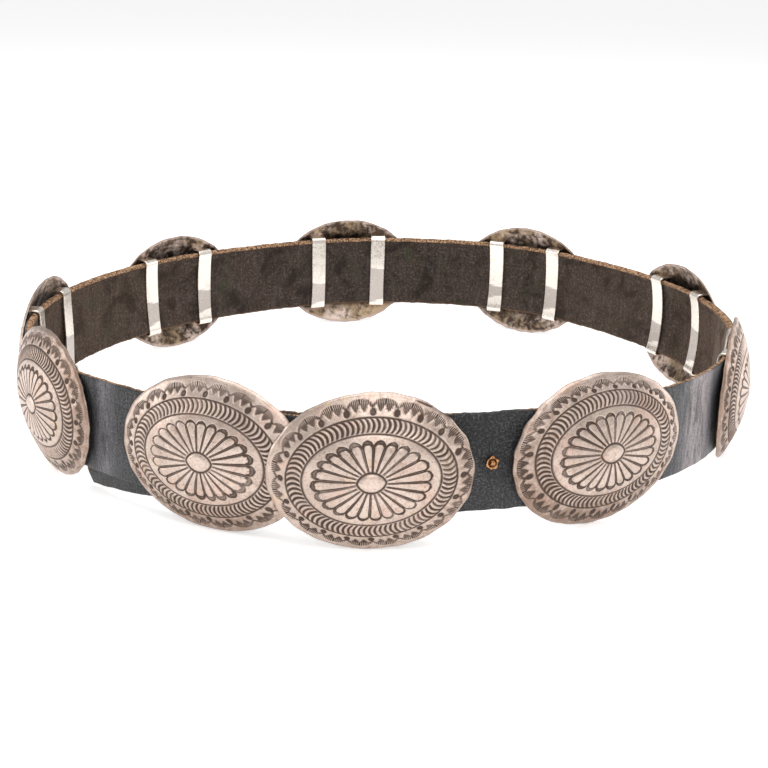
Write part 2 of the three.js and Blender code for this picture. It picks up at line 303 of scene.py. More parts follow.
@dataclass
class BeltPlan:
    """Sizes in mm that the belt shares, and its line in plan, as the frame has them.

    gap_after holds the gap after each concho in shares of concho_gap, cups how far the strap is
    hollowed behind some of them, and plan the line's control points in shares of half its width.
    """

    strap_width: float = 38.1
    strap_thickness: float = 3.0
    grain_rounding: float = 0.6
    flesh_bevel_depth: float = 1.0
    flesh_bevel_height: float = 1.5
    tongue_show: float = 32.0
    tongue_droop: float = 9.7
    tip_clip_length: float = 3.5
    tip_clip_height: float = 5.0
    buckle_end_past: float = 2.5
    concho_width: float = 76.2
    rim_overhang: float = 10.95
    hollow_height: float = 8.9
    plate_thickness: float = 1.2
    strip_width: float = 8.1
    strip_thickness: float = 1.0
    strip_spacing: float = 35.5
    strip_play: float = 0.4
    layer_gap: float = 0.4
    concho_gap: float = 30.0
    buckle_overlap: float = 17.4
    lap_step: float = 4.5
    cup_width: float = 21.0
    rim_stretch: float = 5.0
    gap_after: tuple[tuple[str, float], ...] = (
        ("buckle_concho", 0.36),
        ("concho_1", 1.03),
        ("concho_2", 0.89),
        ("concho_3", 1.24),
        ("concho_4", 0.97),
        ("concho_5", 1.02),
        ("concho_6", 1.10),
        ("concho_7", 0.43),
        ("concho_8", 0.57),
    )
    buckle: str = "buckle_concho"
    overlapped: str = "concho_9"
    cups: tuple[tuple[str, float], ...] = (
        ("concho_3", 5.2),
        ("concho_4", 3.2),
        ("concho_5", 0.8),
        ("concho_6", 2.6),
        ("concho_7", 1.2),
    )
    plan: tuple[tuple[float, float], ...] = (
        (-0.051, -1.010),
        (0.484, -0.896),
        (0.851, -0.626),
        (1.029, -0.152),
        (0.976, 0.303),
        (0.711, 0.713),
        (0.446, 0.934),
        (0.003, 0.999),
        (-0.304, 0.911),
        (-0.738, 0.626),
        (-0.986, 0.200),
        (-1.025, -0.282),
        (-0.840, -0.645),
        (-0.490, -0.911),
    )
    steps: int = 1400
    stations: dict[str, float] = field(default_factory=dict)

    def __post_init__(self) -> None:
        """Works out the sizes that follow, the line's length and where it lies in the row frame."""
        self.half_height = self.strap_width / 2 + self.rim_overhang
        self.strip_reach = (self.strip_spacing + self.strip_width) / 2
        self.layer_lap = self.strap_thickness + self.layer_gap
        self.layer_tuck = self.layer_lap + self.strip_play + self.strip_thickness
        self.buckle_step = self.concho_width - self.buckle_overlap
        self.tongue_reach = self.buckle_step + self.concho_width / 2 + self.tongue_show
        self.end_reach = self.strip_reach + self.buckle_end_past
        along = 0.0
        for name, share in self.gap_after:
            self.stations[name] = along
            along += self.concho_width + share * self.concho_gap
        self.stations[self.overlapped] = along
        self.length = along + self.buckle_step
        self.stations[self.buckle] = self.length
        self.rivet_along = self.concho_width / 2 + self.gap_after[0][1] * self.concho_gap / 2
        self.grid = np.linspace(0.0, 1.0, self.steps + 1)
        run = run_along(self.spline(self.grid))
        self.half_width = self.length / run[-1]
        self.run = run / run[-1]
        self.shift = np.zeros(2)
        places = np.arange(-self.tongue_reach, self.length + self.end_reach, 1.0)
        faces = np.vstack([self.face(places, 0.0), self.face(places, -self.strap_thickness)])
        low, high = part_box("strap")
        middle = (np.array(low[:2]) + np.array(high[:2])) / 2 / MM
        self.shift = middle - (faces.min(axis=0) + faces.max(axis=0)) / 2
        self.middle_height = self.half_height

    def spline(self, turn: np.ndarray) -> np.ndarray:
        """Points of the closed curve, in shares of half its width.

        Args:
            turn: places from 0 to 1 round it.

        Returns:
            Rows of x, y.
        """
        points = np.array(self.plan)
        count = len(points)
        place = np.mod(turn, 1.0) * count
        first = np.floor(place).astype(int) % count
        x = (place - np.floor(place))[:, None]
        weights = (
            (1 - x) ** 3,
            3 * x**3 - 6 * x**2 + 4,
            -3 * x**3 + 3 * x**2 + 3 * x + 1,
            x**3,
        )
        return sum(w * points[(first + i - 1) % count] for i, w in enumerate(weights)) / 6

    def line(self, along: np.ndarray) -> tuple[np.ndarray, np.ndarray]:
        """The belt's line at lengths along it.

        Args:
            along: lengths in mm.

        Returns:
            Points, and directions that point out of the belt, as rows of x, y.
        """
        turn = np.interp(np.mod(along / self.length, 1.0), self.run, self.grid)
        nudge = 1e-4
        tangent = unit_rows(self.spline(turn + nudge) - self.spline(turn - nudge))
        outward = np.stack([tangent[:, 1], -tangent[:, 0]], axis=1)
        return self.spline(turn) * self.half_width + self.shift, outward

    def lift(self, along: np.ndarray) -> np.ndarray:
        """How far a layer of the strap lies outside the belt's line.

        Args:
            along: lengths in mm.

        Returns:
            Distances in mm, below 0 towards the waist.
        """
        outer = along > self.length / 2
        from_buckle = np.where(outer, along - self.length, along)
        lift = self.layer_lap * smooth(-self.buckle_step, -self.strip_reach, from_buckle)
        full = self.buckle_step - self.strip_reach - self.lap_step
        tuck = smooth(self.strip_reach, full, -from_buckle)
        inner = lift - self.layer_lap - (self.layer_tuck - self.layer_lap) * tuck
        return np.where(outer, lift, inner)

    def face(self, along: np.ndarray, out: float | np.ndarray) -> np.ndarray:
        """Points of the strap, at a depth from its outer face.

        Args:
            along: lengths in mm.
            out: distance out of the face.

        Returns:
            Rows of x, y.
        """
        point, outward = self.line(along)
        return point + outward * (self.lift(along) + out)[:, None]

    def cup(self, along: np.ndarray) -> np.ndarray:
        """How far the strap's middle is hollowed outwards behind the conchos, in mm."""
        deep = np.zeros_like(along, dtype=float)
        for name, depth in self.cups:
            deep += depth * bell(along - self.stations[name], self.cup_width)
        return deep

    def strap_seat(self, along: float, reach: float) -> Matrix:
        """Axes on the strap: x along it, y up, z outwards.

        Args:
            along: length in mm.
            reach: half the stretch that sets the direction.

        Returns:
            The axes, with their origin on the outer face halfway up, in mm.
        """
        before, here, after = self.face(np.array([along - reach, along, along + reach]), 0.0)
        across = Vector((*(after - before), 0.0)).normalized()
        outward = across.cross(UP)
        seat = Matrix((across, UP, outward)).transposed().to_4x4()
        seat.translation = Vector((*here, self.middle_height))
        return seat

    def concho_seat(self, name: str) -> Matrix:
        """Axes of a concho, with their origin in the middle of its rim's plane.

        Args:
            name: the concho's node.

        Returns:
            The axes in mm: x along the strap, y up, z outwards.
        """
        seat = self.strap_seat(self.stations[name], self.strip_spacing / 2)
        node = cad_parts[name]
        points = np.array([(node.matrix_world @ v.co)[:] for v in node.data.vertices]) / MM
        local = points @ np.array(seat.to_3x3())
        rim = np.abs(local[:, 1] - self.half_height) > self.half_height - self.rim_stretch
        across = (local[:, 0].min() + local[:, 0].max()) / 2
        out = local[rim, 2].min()
        seat.translation = seat.to_3x3() @ Vector((across, self.half_height, out))
        return seat

    def underside(self, share: np.ndarray) -> np.ndarray:
        """Returns the height of the dome's hollow side over the rim's plane."""
        return self.hollow_height * (1.0 - share**2)


class Sheet:
    """A material's nodes, laid out by short calls."""

    def __init__(self, name: str) -> None:
        """Starts a material with one shader.

        Args:
            name: the material's name.
        """
        self.material = bpy.data.materials.new(name)
        self.material.use_nodes = True
        self.tree = self.material.node_tree
        self.tree.nodes.clear()
        self.shader = self.tree.nodes.new("ShaderNodeBsdfPrincipled")
        output = self.tree.nodes.new("ShaderNodeOutputMaterial")
        self.tree.links.new(self.shader.outputs[0], output.inputs[0])
        self.object_place = self.tree.nodes.new("ShaderNodeTexCoord").outputs["Object"]

    def feed(self, socket: bpy.types.NodeSocket, value: object) -> None:
        """Links a socket to an output, or sets it to a number or colour."""
        if isinstance(value, bpy.types.NodeSocket):
            self.tree.links.new(value, socket)
        elif value is not None:
            socket.default_value = value

    def sum(self, kind: str, a: object, b: object = None, c: object = None) -> bpy.types.NodeSocket:
        """Does one step of arithmetic.

        Args:
            kind: Blender's name of the step.
            a: first value.
            b: second value, if any.
            c: third value, if any.

        Returns:
            The result's socket.
        """
        node = self.tree.nodes.new("ShaderNodeMath")
        node.operation = kind
        for socket, value in zip(node.inputs, (a, b, c)):
            self.feed(socket, value)
        return node.outputs[0]

    def marks(self, name: str) -> bpy.types.NodeSocket:
        """Returns the numbers that a mesh carries under a name."""
        node = self.tree.nodes.new("ShaderNodeAttribute")
        node.attribute_name = name
        return node.outputs["Fac"]

    def vector(self, x: object, y: object, z: object) -> bpy.types.NodeSocket:
        """Returns three values as one vector."""
        node = self.tree.nodes.new("ShaderNodeCombineXYZ")
        for socket, value in zip(node.inputs, (x, y, z)):
            self.feed(socket, value)
        return node.outputs[0]

    def height(self) -> bpy.types.NodeSocket:
        """Returns the height over the floor, in metres."""
        node = self.tree.nodes.new("ShaderNodeSeparateXYZ")
        self.feed(node.inputs[0], self.object_place)
        return node.outputs["Z"]

    def noise(
        self,
        scale: float,
        detail: float = 3.0,
        rough: float = 0.55,
        warp: float = 0.0,
        place: bpy.types.NodeSocket | None = None,
    ) -> bpy.types.NodeSocket:
        """Makes a cloudy field.

        Args:
            scale: clouds a metre.
            detail: layers of finer clouds.
            rough: how strong the finer ones are.
            warp: how far it is distorted.
            place: the coordinates it reads.

        Returns:
            Values about 0.5.
        """
        node = self.tree.nodes.new("ShaderNodeTexNoise")
        self.feed(node.inputs["Vector"], place or self.object_place)
        node.inputs["Scale"].default_value = scale
        node.inputs["Detail"].default_value = detail
        node.inputs["Roughness"].default_value = rough
        node.inputs["Distortion"].default_value = warp
        return node.outputs["Fac"]

    def cells(self, scale: float, place: bpy.types.NodeSocket | None = None) -> bpy.types.NodeSocket:
        """Returns the distance to the nearest of scattered points, scale of them a metre."""
        node = self.tree.nodes.new("ShaderNodeTexVoronoi")
        self.feed(node.inputs["Vector"], place or self.object_place)
        node.inputs["Scale"].default_value = scale
        return node.outputs["Distance"]

    def between(
        self, value: object, low: float, high: float, to_low: float = 0.0, to_high: float = 1.0
    ) -> bpy.types.NodeSocket:
        """Maps a range smoothly to another.

        Args:
            value: what is mapped.
            low: start of its range.
            high: end of its range.
            to_low: what the start becomes.
            to_high: what the end becomes.

        Returns:
            The mapped value.
        """
        node = self.tree.nodes.new("ShaderNodeMapRange")
        node.interpolation_type = "SMOOTHSTEP"
        for socket, item in zip(node.inputs, (value, low, high, to_low, to_high)):
            self.feed(socket, item)
        return node.outputs[0]

    def mix(
        self, share: object, first: object, second: object, way: str = "MIX"
    ) -> bpy.types.NodeSocket:
        """Mixes two colours.

        Args:
            share: how much of the second.
            first: first colour.
            second: second colour.
            way: Blender's name of the blend.

        Returns:
            The mixed colour.
        """
        node = self.tree.nodes.new("ShaderNodeMix")
        node.data_type = "RGBA"
        node.blend_type = way
        self.feed(node.inputs[0], share)
        self.feed(node.inputs[6], first)
        self.feed(node.inputs[7], second)
        return node.outputs[2]

    def layer(
        self,
        under: object,
        over: object,
        value: object,
        low: float,
        high: float,
        most: float = 1.0,
    ) -> bpy.types.NodeSocket:
        """Lays one colour over another where a field is high.

        Args:
            under: the colour below.
            over: the colour that is laid on.
            value: the field.
            low: where the colour begins to show.
            high: where it shows most.
            most: how much it shows there.

        Returns:
            The mixed colour.
        """
        return self.mix(self.between(value, low, high, 0.0, most), under, over)

    def bump(
        self, height: object, depth: float, strength: float = 1.0, over: object = None
    ) -> bpy.types.NodeSocket:
        """Raises the surface by a field.

        Args:
            height: the field.
            depth: metres that a value of 1 stands for.
            strength: how much of it shows.
            over: a bump that this one lies on.

        Returns:
            The bent normal.
        """
        node = self.tree.nodes.new("ShaderNodeBump")
        self.feed(node.inputs["Height"], height)
        node.inputs["Distance"].default_value = depth
        node.inputs["Strength"].default_value = strength
        self.feed(node.inputs["Normal"], over)
        return node.outputs[0]

    def finish(
        self,
        colour: object,
        roughness: object,
        normal: object,
        metallic: object = 0.0,
        **constants: float,
    ) -> bpy.types.Material:
        """Feeds the shader.

        Args:
            colour: base colour.
            roughness: roughness.
            normal: bent normal.
            metallic: share of bare metal.
            constants: other sockets by name, with plain numbers.

        Returns:
            The material.
        """
        self.feed(self.shader.inputs["Base Color"], colour)
        self.feed(self.shader.inputs["Roughness"], roughness)
        self.feed(self.shader.inputs["Normal"], normal)
        self.feed(self.shader.inputs["Metallic"], metallic)
        for name, value in constants.items():
            self.shader.inputs[name].default_value = value
        return self.material


Colour = tuple[float, float, float, float]


@dataclass(frozen=True)
class StampedSilver:
    """Old silver: warm and pale where it is handled, dark in the stamped lines and on the back, with painted
    shade on one side of the face and on the back's upper half.
    """

    pale: Colour = (0.62, 0.505, 0.440, 1.0)
    cool: Colour = (0.50, 0.40, 0.345, 1.0)
    rosy: Colour = (0.58, 0.415, 0.345, 1.0)
    straw: Colour = (0.62, 0.475, 0.33, 1.0)
    tarnish_and_shade: Colour = (0.25, 0.165, 0.12, 1.0)
    oxide: Colour = (0.058, 0.036, 0.026, 1.0)
    back_dark: Colour = (0.070, 0.048, 0.036, 1.0)
    back_tan: Colour = (0.42, 0.31, 0.20, 1.0)
    back_pale: Colour = (0.74, 0.59, 0.51, 1.0)
    back_rim: Colour = (0.56, 0.43, 0.37, 1.0)
    hatch_lines: float = 7.5

    def material(self) -> bpy.types.Material:
        """Builds the material, which reads the marks oxide, hatch, fan, painted_shade and back."""
        sheet = Sheet("stamped_silver")
        cloud = sheet.noise(55.0, 3.0)
        fine = sheet.noise(420.0, 4.0, 0.65)
        speck = sheet.noise(1500.0, 3.0, 0.65)
        body = sheet.layer(self.pale, self.cool, cloud, 0.42, 0.62)
        body = sheet.layer(body, self.rosy, sheet.noise(85.0, 4.0, 0.6, 0.4), 0.50, 0.68, 0.75)
        body = sheet.layer(body, self.straw, sheet.noise(130.0, 3.0, 0.6, 0.2), 0.58, 0.74, 0.6)
        # Painted shade: painted_shade, darker towards a concho's shade_side and on the back's upper half,
        # adds to the tarnish clouds, so tarnish_and_shade lays both real tarnish and painted shade.
        tarnish_and_shade_share = sheet.sum("MULTIPLY_ADD", sheet.marks("painted_shade"), 0.30, sheet.noise(300.0, 5.0, 0.80, 0.5))
        body = sheet.layer(body, self.tarnish_and_shade, tarnish_and_shade_share, 0.47, 0.84, 0.85)
        body = sheet.layer(body, self.tarnish_and_shade, speck, 0.52, 0.68, 0.65)
        wave = sheet.sum("SINE", sheet.sum("MULTIPLY", sheet.marks("fan"), TURN * self.hatch_lines))
        hatch = sheet.marks("hatch")
        cut = sheet.sum("MULTIPLY_ADD", wave, 0.5, 0.5)
        lines = sheet.sum("MULTIPLY", hatch, sheet.sum("MULTIPLY_ADD", cut, 0.95, -0.40))
        dark = sheet.sum("ADD", lines, sheet.marks("oxide"))
        dark = sheet.sum("MULTIPLY", dark, sheet.between(fine, 0.30, 0.62, 1.12, 0.88))
        dark = sheet.between(dark, 0.0, 0.80, 0.0, 0.98)
        front = sheet.mix(dark, body, self.oxide)
        rim = sheet.marks("oxide")
        mottle = sheet.sum("MULTIPLY_ADD", rim, 0.22, sheet.noise(150.0, 5.0, 0.64, 0.5))
        # The back is darker where painted_shade is high: painted shade on its upper half, and back_darkening.
        mottle = sheet.sum("MULTIPLY_ADD", sheet.marks("painted_shade"), -0.11, mottle)
        mottle = sheet.sum("MULTIPLY_ADD", sheet.sum("SUBTRACT", fine, 0.5), 0.7, mottle)
        light = sheet.layer(self.back_tan, self.back_pale, cloud, 0.44, 0.58)
        light = sheet.layer(light, self.back_rim, rim, 0.35, 0.85)
        back = sheet.layer(self.back_dark, light, mottle, 0.26, 0.62)
        rear = sheet.marks("back")
        colour = sheet.mix(rear, front, back)
        rough = sheet.between(dark, 0.0, 1.0, 0.34, 0.62)
        rough = sheet.sum("ADD", rough, sheet.between(fine, 0.3, 0.7, -0.05, 0.10))
        rough = sheet.sum("MULTIPLY_ADD", rear, 0.10, rough)
        relief = sheet.bump(sheet.sum("MULTIPLY", cut, hatch), -0.00016)
        relief = sheet.bump(fine, 0.00030, 0.6, relief)
        relief = sheet.bump(speck, 0.00006, 0.6, relief)
        metal = sheet.between(dark, 0.2, 0.9, 0.92, 0.35)
        return sheet.finish(colour, rough, relief, metal, **{"Specular IOR Level": 0.3})


@dataclass(frozen=True)
class BrightStrip:
    """The plain silver of the strips, polished by the strap, with a painted dark reflection across each and
    painted shade at its upper bend.
    """

    bright: Colour = (0.90, 0.83, 0.75, 1.0)
    dull_and_shade: Colour = (0.44, 0.39, 0.36, 1.0)
    scuff_and_sheen: Colour = (0.58, 0.50, 0.43, 1.0)

    def material(self) -> bpy.types.Material:
        """Builds the material, which reads the mark painted_shade: painted dark reflection and painted crease
        shade.
        """
        sheet = Sheet("strip_silver")
        cloud = sheet.noise(140.0, 4.0, 0.6)
        fine = sheet.noise(900.0, 3.0, 0.6)
        colour = sheet.layer(self.bright, self.scuff_and_sheen, cloud, 0.54, 0.76, 0.5)
        # Painted reflection and painted crease shade: dull_and_shade is laid where painted_shade is high.
        painted_shade = sheet.sum("MULTIPLY_ADD", fine, 0.12, sheet.marks("painted_shade"))
        colour = sheet.layer(colour, self.dull_and_shade, painted_shade, 0.30, 0.80, 0.9)
        rough = sheet.between(fine, 0.3, 0.7, 0.24, 0.38)
        relief = sheet.bump(cloud, 0.00025, 0.5)
        relief = sheet.bump(fine, 0.00004, 0.5, relief)
        return sheet.finish(colour, rough, relief, 1.0)


@dataclass(frozen=True)
class StrapLeather:
    """Black grained leather, brown and napped on the flesh side, tan and fuzzy where it is cut, with painted
    sheen on the grain side and painted light on the flesh side.
    """

    grain: Colour = (0.003, 0.003, 0.004, 1.0)
    grain_worn: Colour = (0.092, 0.091, 0.096, 1.0)
    scuff_and_sheen: Colour = (0.37, 0.318, 0.328, 1.0)
    sheen_cool: Colour = (0.235, 0.225, 0.245, 1.0)
    flesh: Colour = (0.044, 0.033, 0.028, 1.0)
    flesh_pale: Colour = (0.150, 0.112, 0.090, 1.0)
    flesh_lit: Colour = (0.36, 0.28, 0.235, 1.0)
    flesh_dark: Colour = (0.015, 0.011, 0.010, 1.0)
    flesh_grey: Colour = (0.100, 0.082, 0.076, 1.0)
    stain: Colour = (0.046, 0.052, 0.032, 1.0)
    cut: Colour = (0.56, 0.345, 0.205, 1.0)
    cut_dark: Colour = (0.10, 0.055, 0.032, 1.0)

    def material(self) -> bpy.types.Material:
        """Builds the material, which reads the marks along, raw, flesh, inked and scuff_and_sheen, which
        holds painted sheen and painted light.
        """
        sheet = Sheet("strap_leather")
        along = sheet.marks("along")
        height = sheet.height()
        flat = sheet.vector(along, height, 0.0)
        upright = sheet.vector(sheet.sum("MULTIPLY", along, 6.0), height, 0.0)
        creases = sheet.noise(120.0, 5.0, 0.7, 0.6, upright)
        streaks = sheet.noise(300.0, 4.0, 0.65, 0.3, upright)
        pebbles = sheet.noise(1150.0, 3.0, 0.8, 0.2, flat)
        lines = sheet.noise(62.0, 6.0, 0.72, 0.7, upright)
        pores = sheet.cells(1500.0, flat)
        cloud = sheet.noise(60.0, 4.0, 0.6, 0.0, flat)
        worn = sheet.between(pebbles, 0.47, 0.64)
        worn = sheet.sum("MULTIPLY", worn, sheet.between(cloud, 0.35, 0.65, 0.6, 1.0))
        outside = sheet.mix(worn, self.grain, self.grain_worn)
        # Painted sheen: grey, cooler where faint, laid on the grain side where scuff_and_sheen is high.
        grey = sheet.sum("MULTIPLY", sheet.marks("scuff_and_sheen"), sheet.between(lines, 0.42, 0.62, 1.0, 0.30))
        grey = sheet.sum("MULTIPLY", grey, sheet.between(pebbles, 0.40, 0.58, 0.70, 1.15))
        tint = sheet.layer(self.sheen_cool, self.scuff_and_sheen, sheet.marks("scuff_and_sheen"), 0.40, 0.75)
        outside = sheet.mix(grey, outside, tint)
        outside = sheet.layer(outside, self.grain, creases, 0.51, 0.66, 0.65)
        nap = sheet.noise(800.0, 4.0, 0.75, 0.3, flat)
        inside = sheet.layer(self.flesh, self.flesh_pale, nap, 0.48, 0.66, 0.8)
        inside = sheet.layer(inside, self.flesh_grey, lines, 0.50, 0.66, 0.6)
        # Painted light on the flesh side where scuff_and_sheen is high.
        flesh_lit_share = sheet.sum("MULTIPLY", sheet.marks("scuff_and_sheen"), sheet.between(lines, 0.40, 0.60, 1.0, 0.35))
        inside = sheet.mix(flesh_lit_share, inside, self.flesh_lit)
        flesh_lights = sheet.noise(75.0, 5.0, 0.65, 0.8, flat)
        inside = sheet.layer(inside, self.flesh_dark, flesh_lights, 0.46, 0.66, 0.75)
        inside = sheet.layer(inside, self.flesh_dark, streaks, 0.54, 0.74, 0.5)
        inside = sheet.layer(inside, self.stain, cloud, 0.56, 0.70, 0.55)
        fuzz = sheet.noise(1100.0, 4.0, 0.7, 0.4, flat)
        edge = sheet.layer(self.cut, self.cut_dark, fuzz, 0.42, 0.56)
        raw = sheet.marks("raw")
        ragged = sheet.sum("MULTIPLY_ADD", sheet.sum("SUBTRACT", fuzz, 0.5), 1.1, raw)
        shown = sheet.between(ragged, 0.40, 0.60)
        shown = sheet.sum("MULTIPLY", shown, sheet.between(sheet.marks("inked"), 0.0, 1.0, 1.0, 0.0))
        flesh = sheet.between(sheet.marks("flesh"), 0.35, 0.65)
        colour = sheet.mix(flesh, outside, inside)
        colour = sheet.mix(shown, colour, edge)
        rough = sheet.between(creases, 0.35, 0.7, 0.46, 0.62)
        matt = sheet.sum("MAXIMUM", flesh, shown)
        rough = sheet.sum("MULTIPLY_ADD", matt, 0.42, rough)
        relief = sheet.bump(lines, 0.0007, 0.8)
        relief = sheet.bump(creases, 0.0006, 0.8, relief)
        relief = sheet.bump(streaks, 0.0004, 1.0, relief)
        relief = sheet.bump(pores, 0.00010, 0.8, relief)
        relief = sheet.bump(pebbles, 0.00022, 1.0, relief)
        relief = sheet.bump(sheet.sum("MULTIPLY", nap, matt), 0.0005, 0.8, relief)
        gloss = sheet.sum("MULTIPLY", sheet.sum("SUBTRACT", 1.0, matt), 0.70)
        sheet.feed(sheet.shader.inputs["Coat Weight"], gloss)
        sheet.feed(sheet.shader.inputs["Coat Normal"], relief)
        sheet.feed(sheet.shader.inputs["Sheen Weight"], sheet.sum("MULTIPLY", matt, 0.22))
        sheet.shader.inputs["Sheen Tint"].default_value = self.cut
        constants = {"Specular IOR Level": 0.10, "Coat Roughness": 0.30, "Sheen Roughness": 0.45}
        return sheet.finish(colour, rough, relief, 0.0, **constants)


@dataclass(frozen=True)
class RivetBrass:
    """Copper-coloured brass, dark where the dome meets the ring."""

    bright: Colour = (0.62, 0.31, 0.13, 1.0)
    dull_and_shade: Colour = (0.16, 0.075, 0.035, 1.0)
    oxide: Colour = (0.012, 0.009, 0.007, 1.0)

    def material(self) -> bpy.types.Material:
        """Builds the material, which reads the mark oxide."""
        sheet = Sheet("rivet_brass")
        cloud = sheet.noise(900.0, 4.0, 0.6)
        colour = sheet.layer(self.bright, self.dull_and_shade, cloud, 0.38, 0.60)
        dark = sheet.marks("oxide")
        colour = sheet.mix(dark, colour, self.oxide)
        relief = sheet.bump(cloud, 0.00025, 0.7)
        return sheet.finish(colour, sheet.between(dark, 0.0, 1.0, 0.26, 0.7), relief, 1.0)


@dataclass(frozen=True)
class PaleFloor:
    """The plain floor that the belt stands on."""

    shade: Colour = (0.92, 0.92, 0.92, 1.0)
    clouded: Colour = (0.90, 0.90, 0.90, 1.0)
    glow: float = 0.42

    def material(self) -> bpy.types.Material:
        """Builds the material."""
        sheet = Sheet("pale_floor")
        haze = sheet.between(sheet.noise(3.0, 2.0), 0.3, 0.7, 0.96, 1.0)
        colour = sheet.mix(haze, self.clouded, self.shade)
        constants = {"Specular IOR Level": 0.1, "Emission Strength": self.glow}
        material = sheet.finish(colour, 0.9, None, 0.0, **constants)
        sheet.shader.inputs["Emission Color"].default_value = self.shade
        return material


class Oval(Enum):
    """The ovals that the pattern is laid out on, as half widths and half heights in mm."""

    HUB = (0.0, 0.0)
    BOSS = (4.75, 3.4)
    PETAL_TIPS = (21.5, 15.2)
    INNER_LINE = (24.6, 17.15)
    OUTER_LINE = (30.1, 22.5)
    DOTS = (32.1, 24.1)
    CROWNS = (35.8, 27.8)
    RIM = (38.1, 30.0)

    @property
    def wide(self) -> float:
        """Half the oval's width."""
        return self.value[0]

    @property
    def high(self) -> float:
        """Half the oval's height."""
        return self.value[1]


PATTERN_OVALS = list(Oval)


def half_width_at(high: np.ndarray) -> np.ndarray:
    """Returns the half width of the pattern's oval with a half height."""
    return np.interp(high, [o.high for o in PATTERN_OVALS], [o.wide for o in PATTERN_OVALS])


def angle_table() -> tuple[np.ndarray, np.ndarray]:
    """Lays out even steps round an oval.

    Returns:
        Shares of the oval's length, and the angles they lie at.
    """
    angle = np.linspace(0.0, TURN, 2881)
    wide, high = 28.0, 20.2
    speed = np.hypot(wide * np.sin(angle), high * np.cos(angle))
    run = np.concatenate([[0.0], np.cumsum((speed[1:] + speed[:-1]) / 2)])
    return run / run[-1], angle


TURN_SHARES, TURN_ANGLES = angle_table()


def on_oval(wide: object, high: object, turn: np.ndarray) -> np.ndarray:
    """Returns points of an oval at places from 0 to 1 round it, as rows of x, y."""
    angle = np.interp(np.mod(turn, 1.0), TURN_SHARES, TURN_ANGLES)
    return np.stack([wide * np.cos(angle), high * np.sin(angle)], axis=-1)


def round_oval(oval: Oval, turn: np.ndarray) -> np.ndarray:
    """Returns the directions that an oval runs in at places from 0 to 1 round it, as rows of x, y."""
    nudge = 1e-3
    before = on_oval(oval.wide, oval.high, turn - nudge)
    return unit_rows(on_oval(oval.wide, oval.high, turn + nudge) - before)


def band_level(high: np.ndarray) -> np.ndarray:
    """Returns places across the band of crescents: 0 at the inner line and 1 at the outer one."""
    return (high - Oval.INNER_LINE.high) / (Oval.OUTER_LINE.high - Oval.INNER_LINE.high)


def rim_share(x: object, y: object) -> object:
    """Returns how far out points of a concho lie: 0 in its middle and 1 at its rim."""
    return np.hypot(x / Oval.RIM.wide, y / Oval.RIM.high)


@dataclass(frozen=True)
class Scar:
    """A crack, flake or nick in a concho's border: where it starts and ends, in mm on the face."""

    start: tuple[float, float]
    end: tuple[float, float]
    width: float
    depth: float
    dark: float


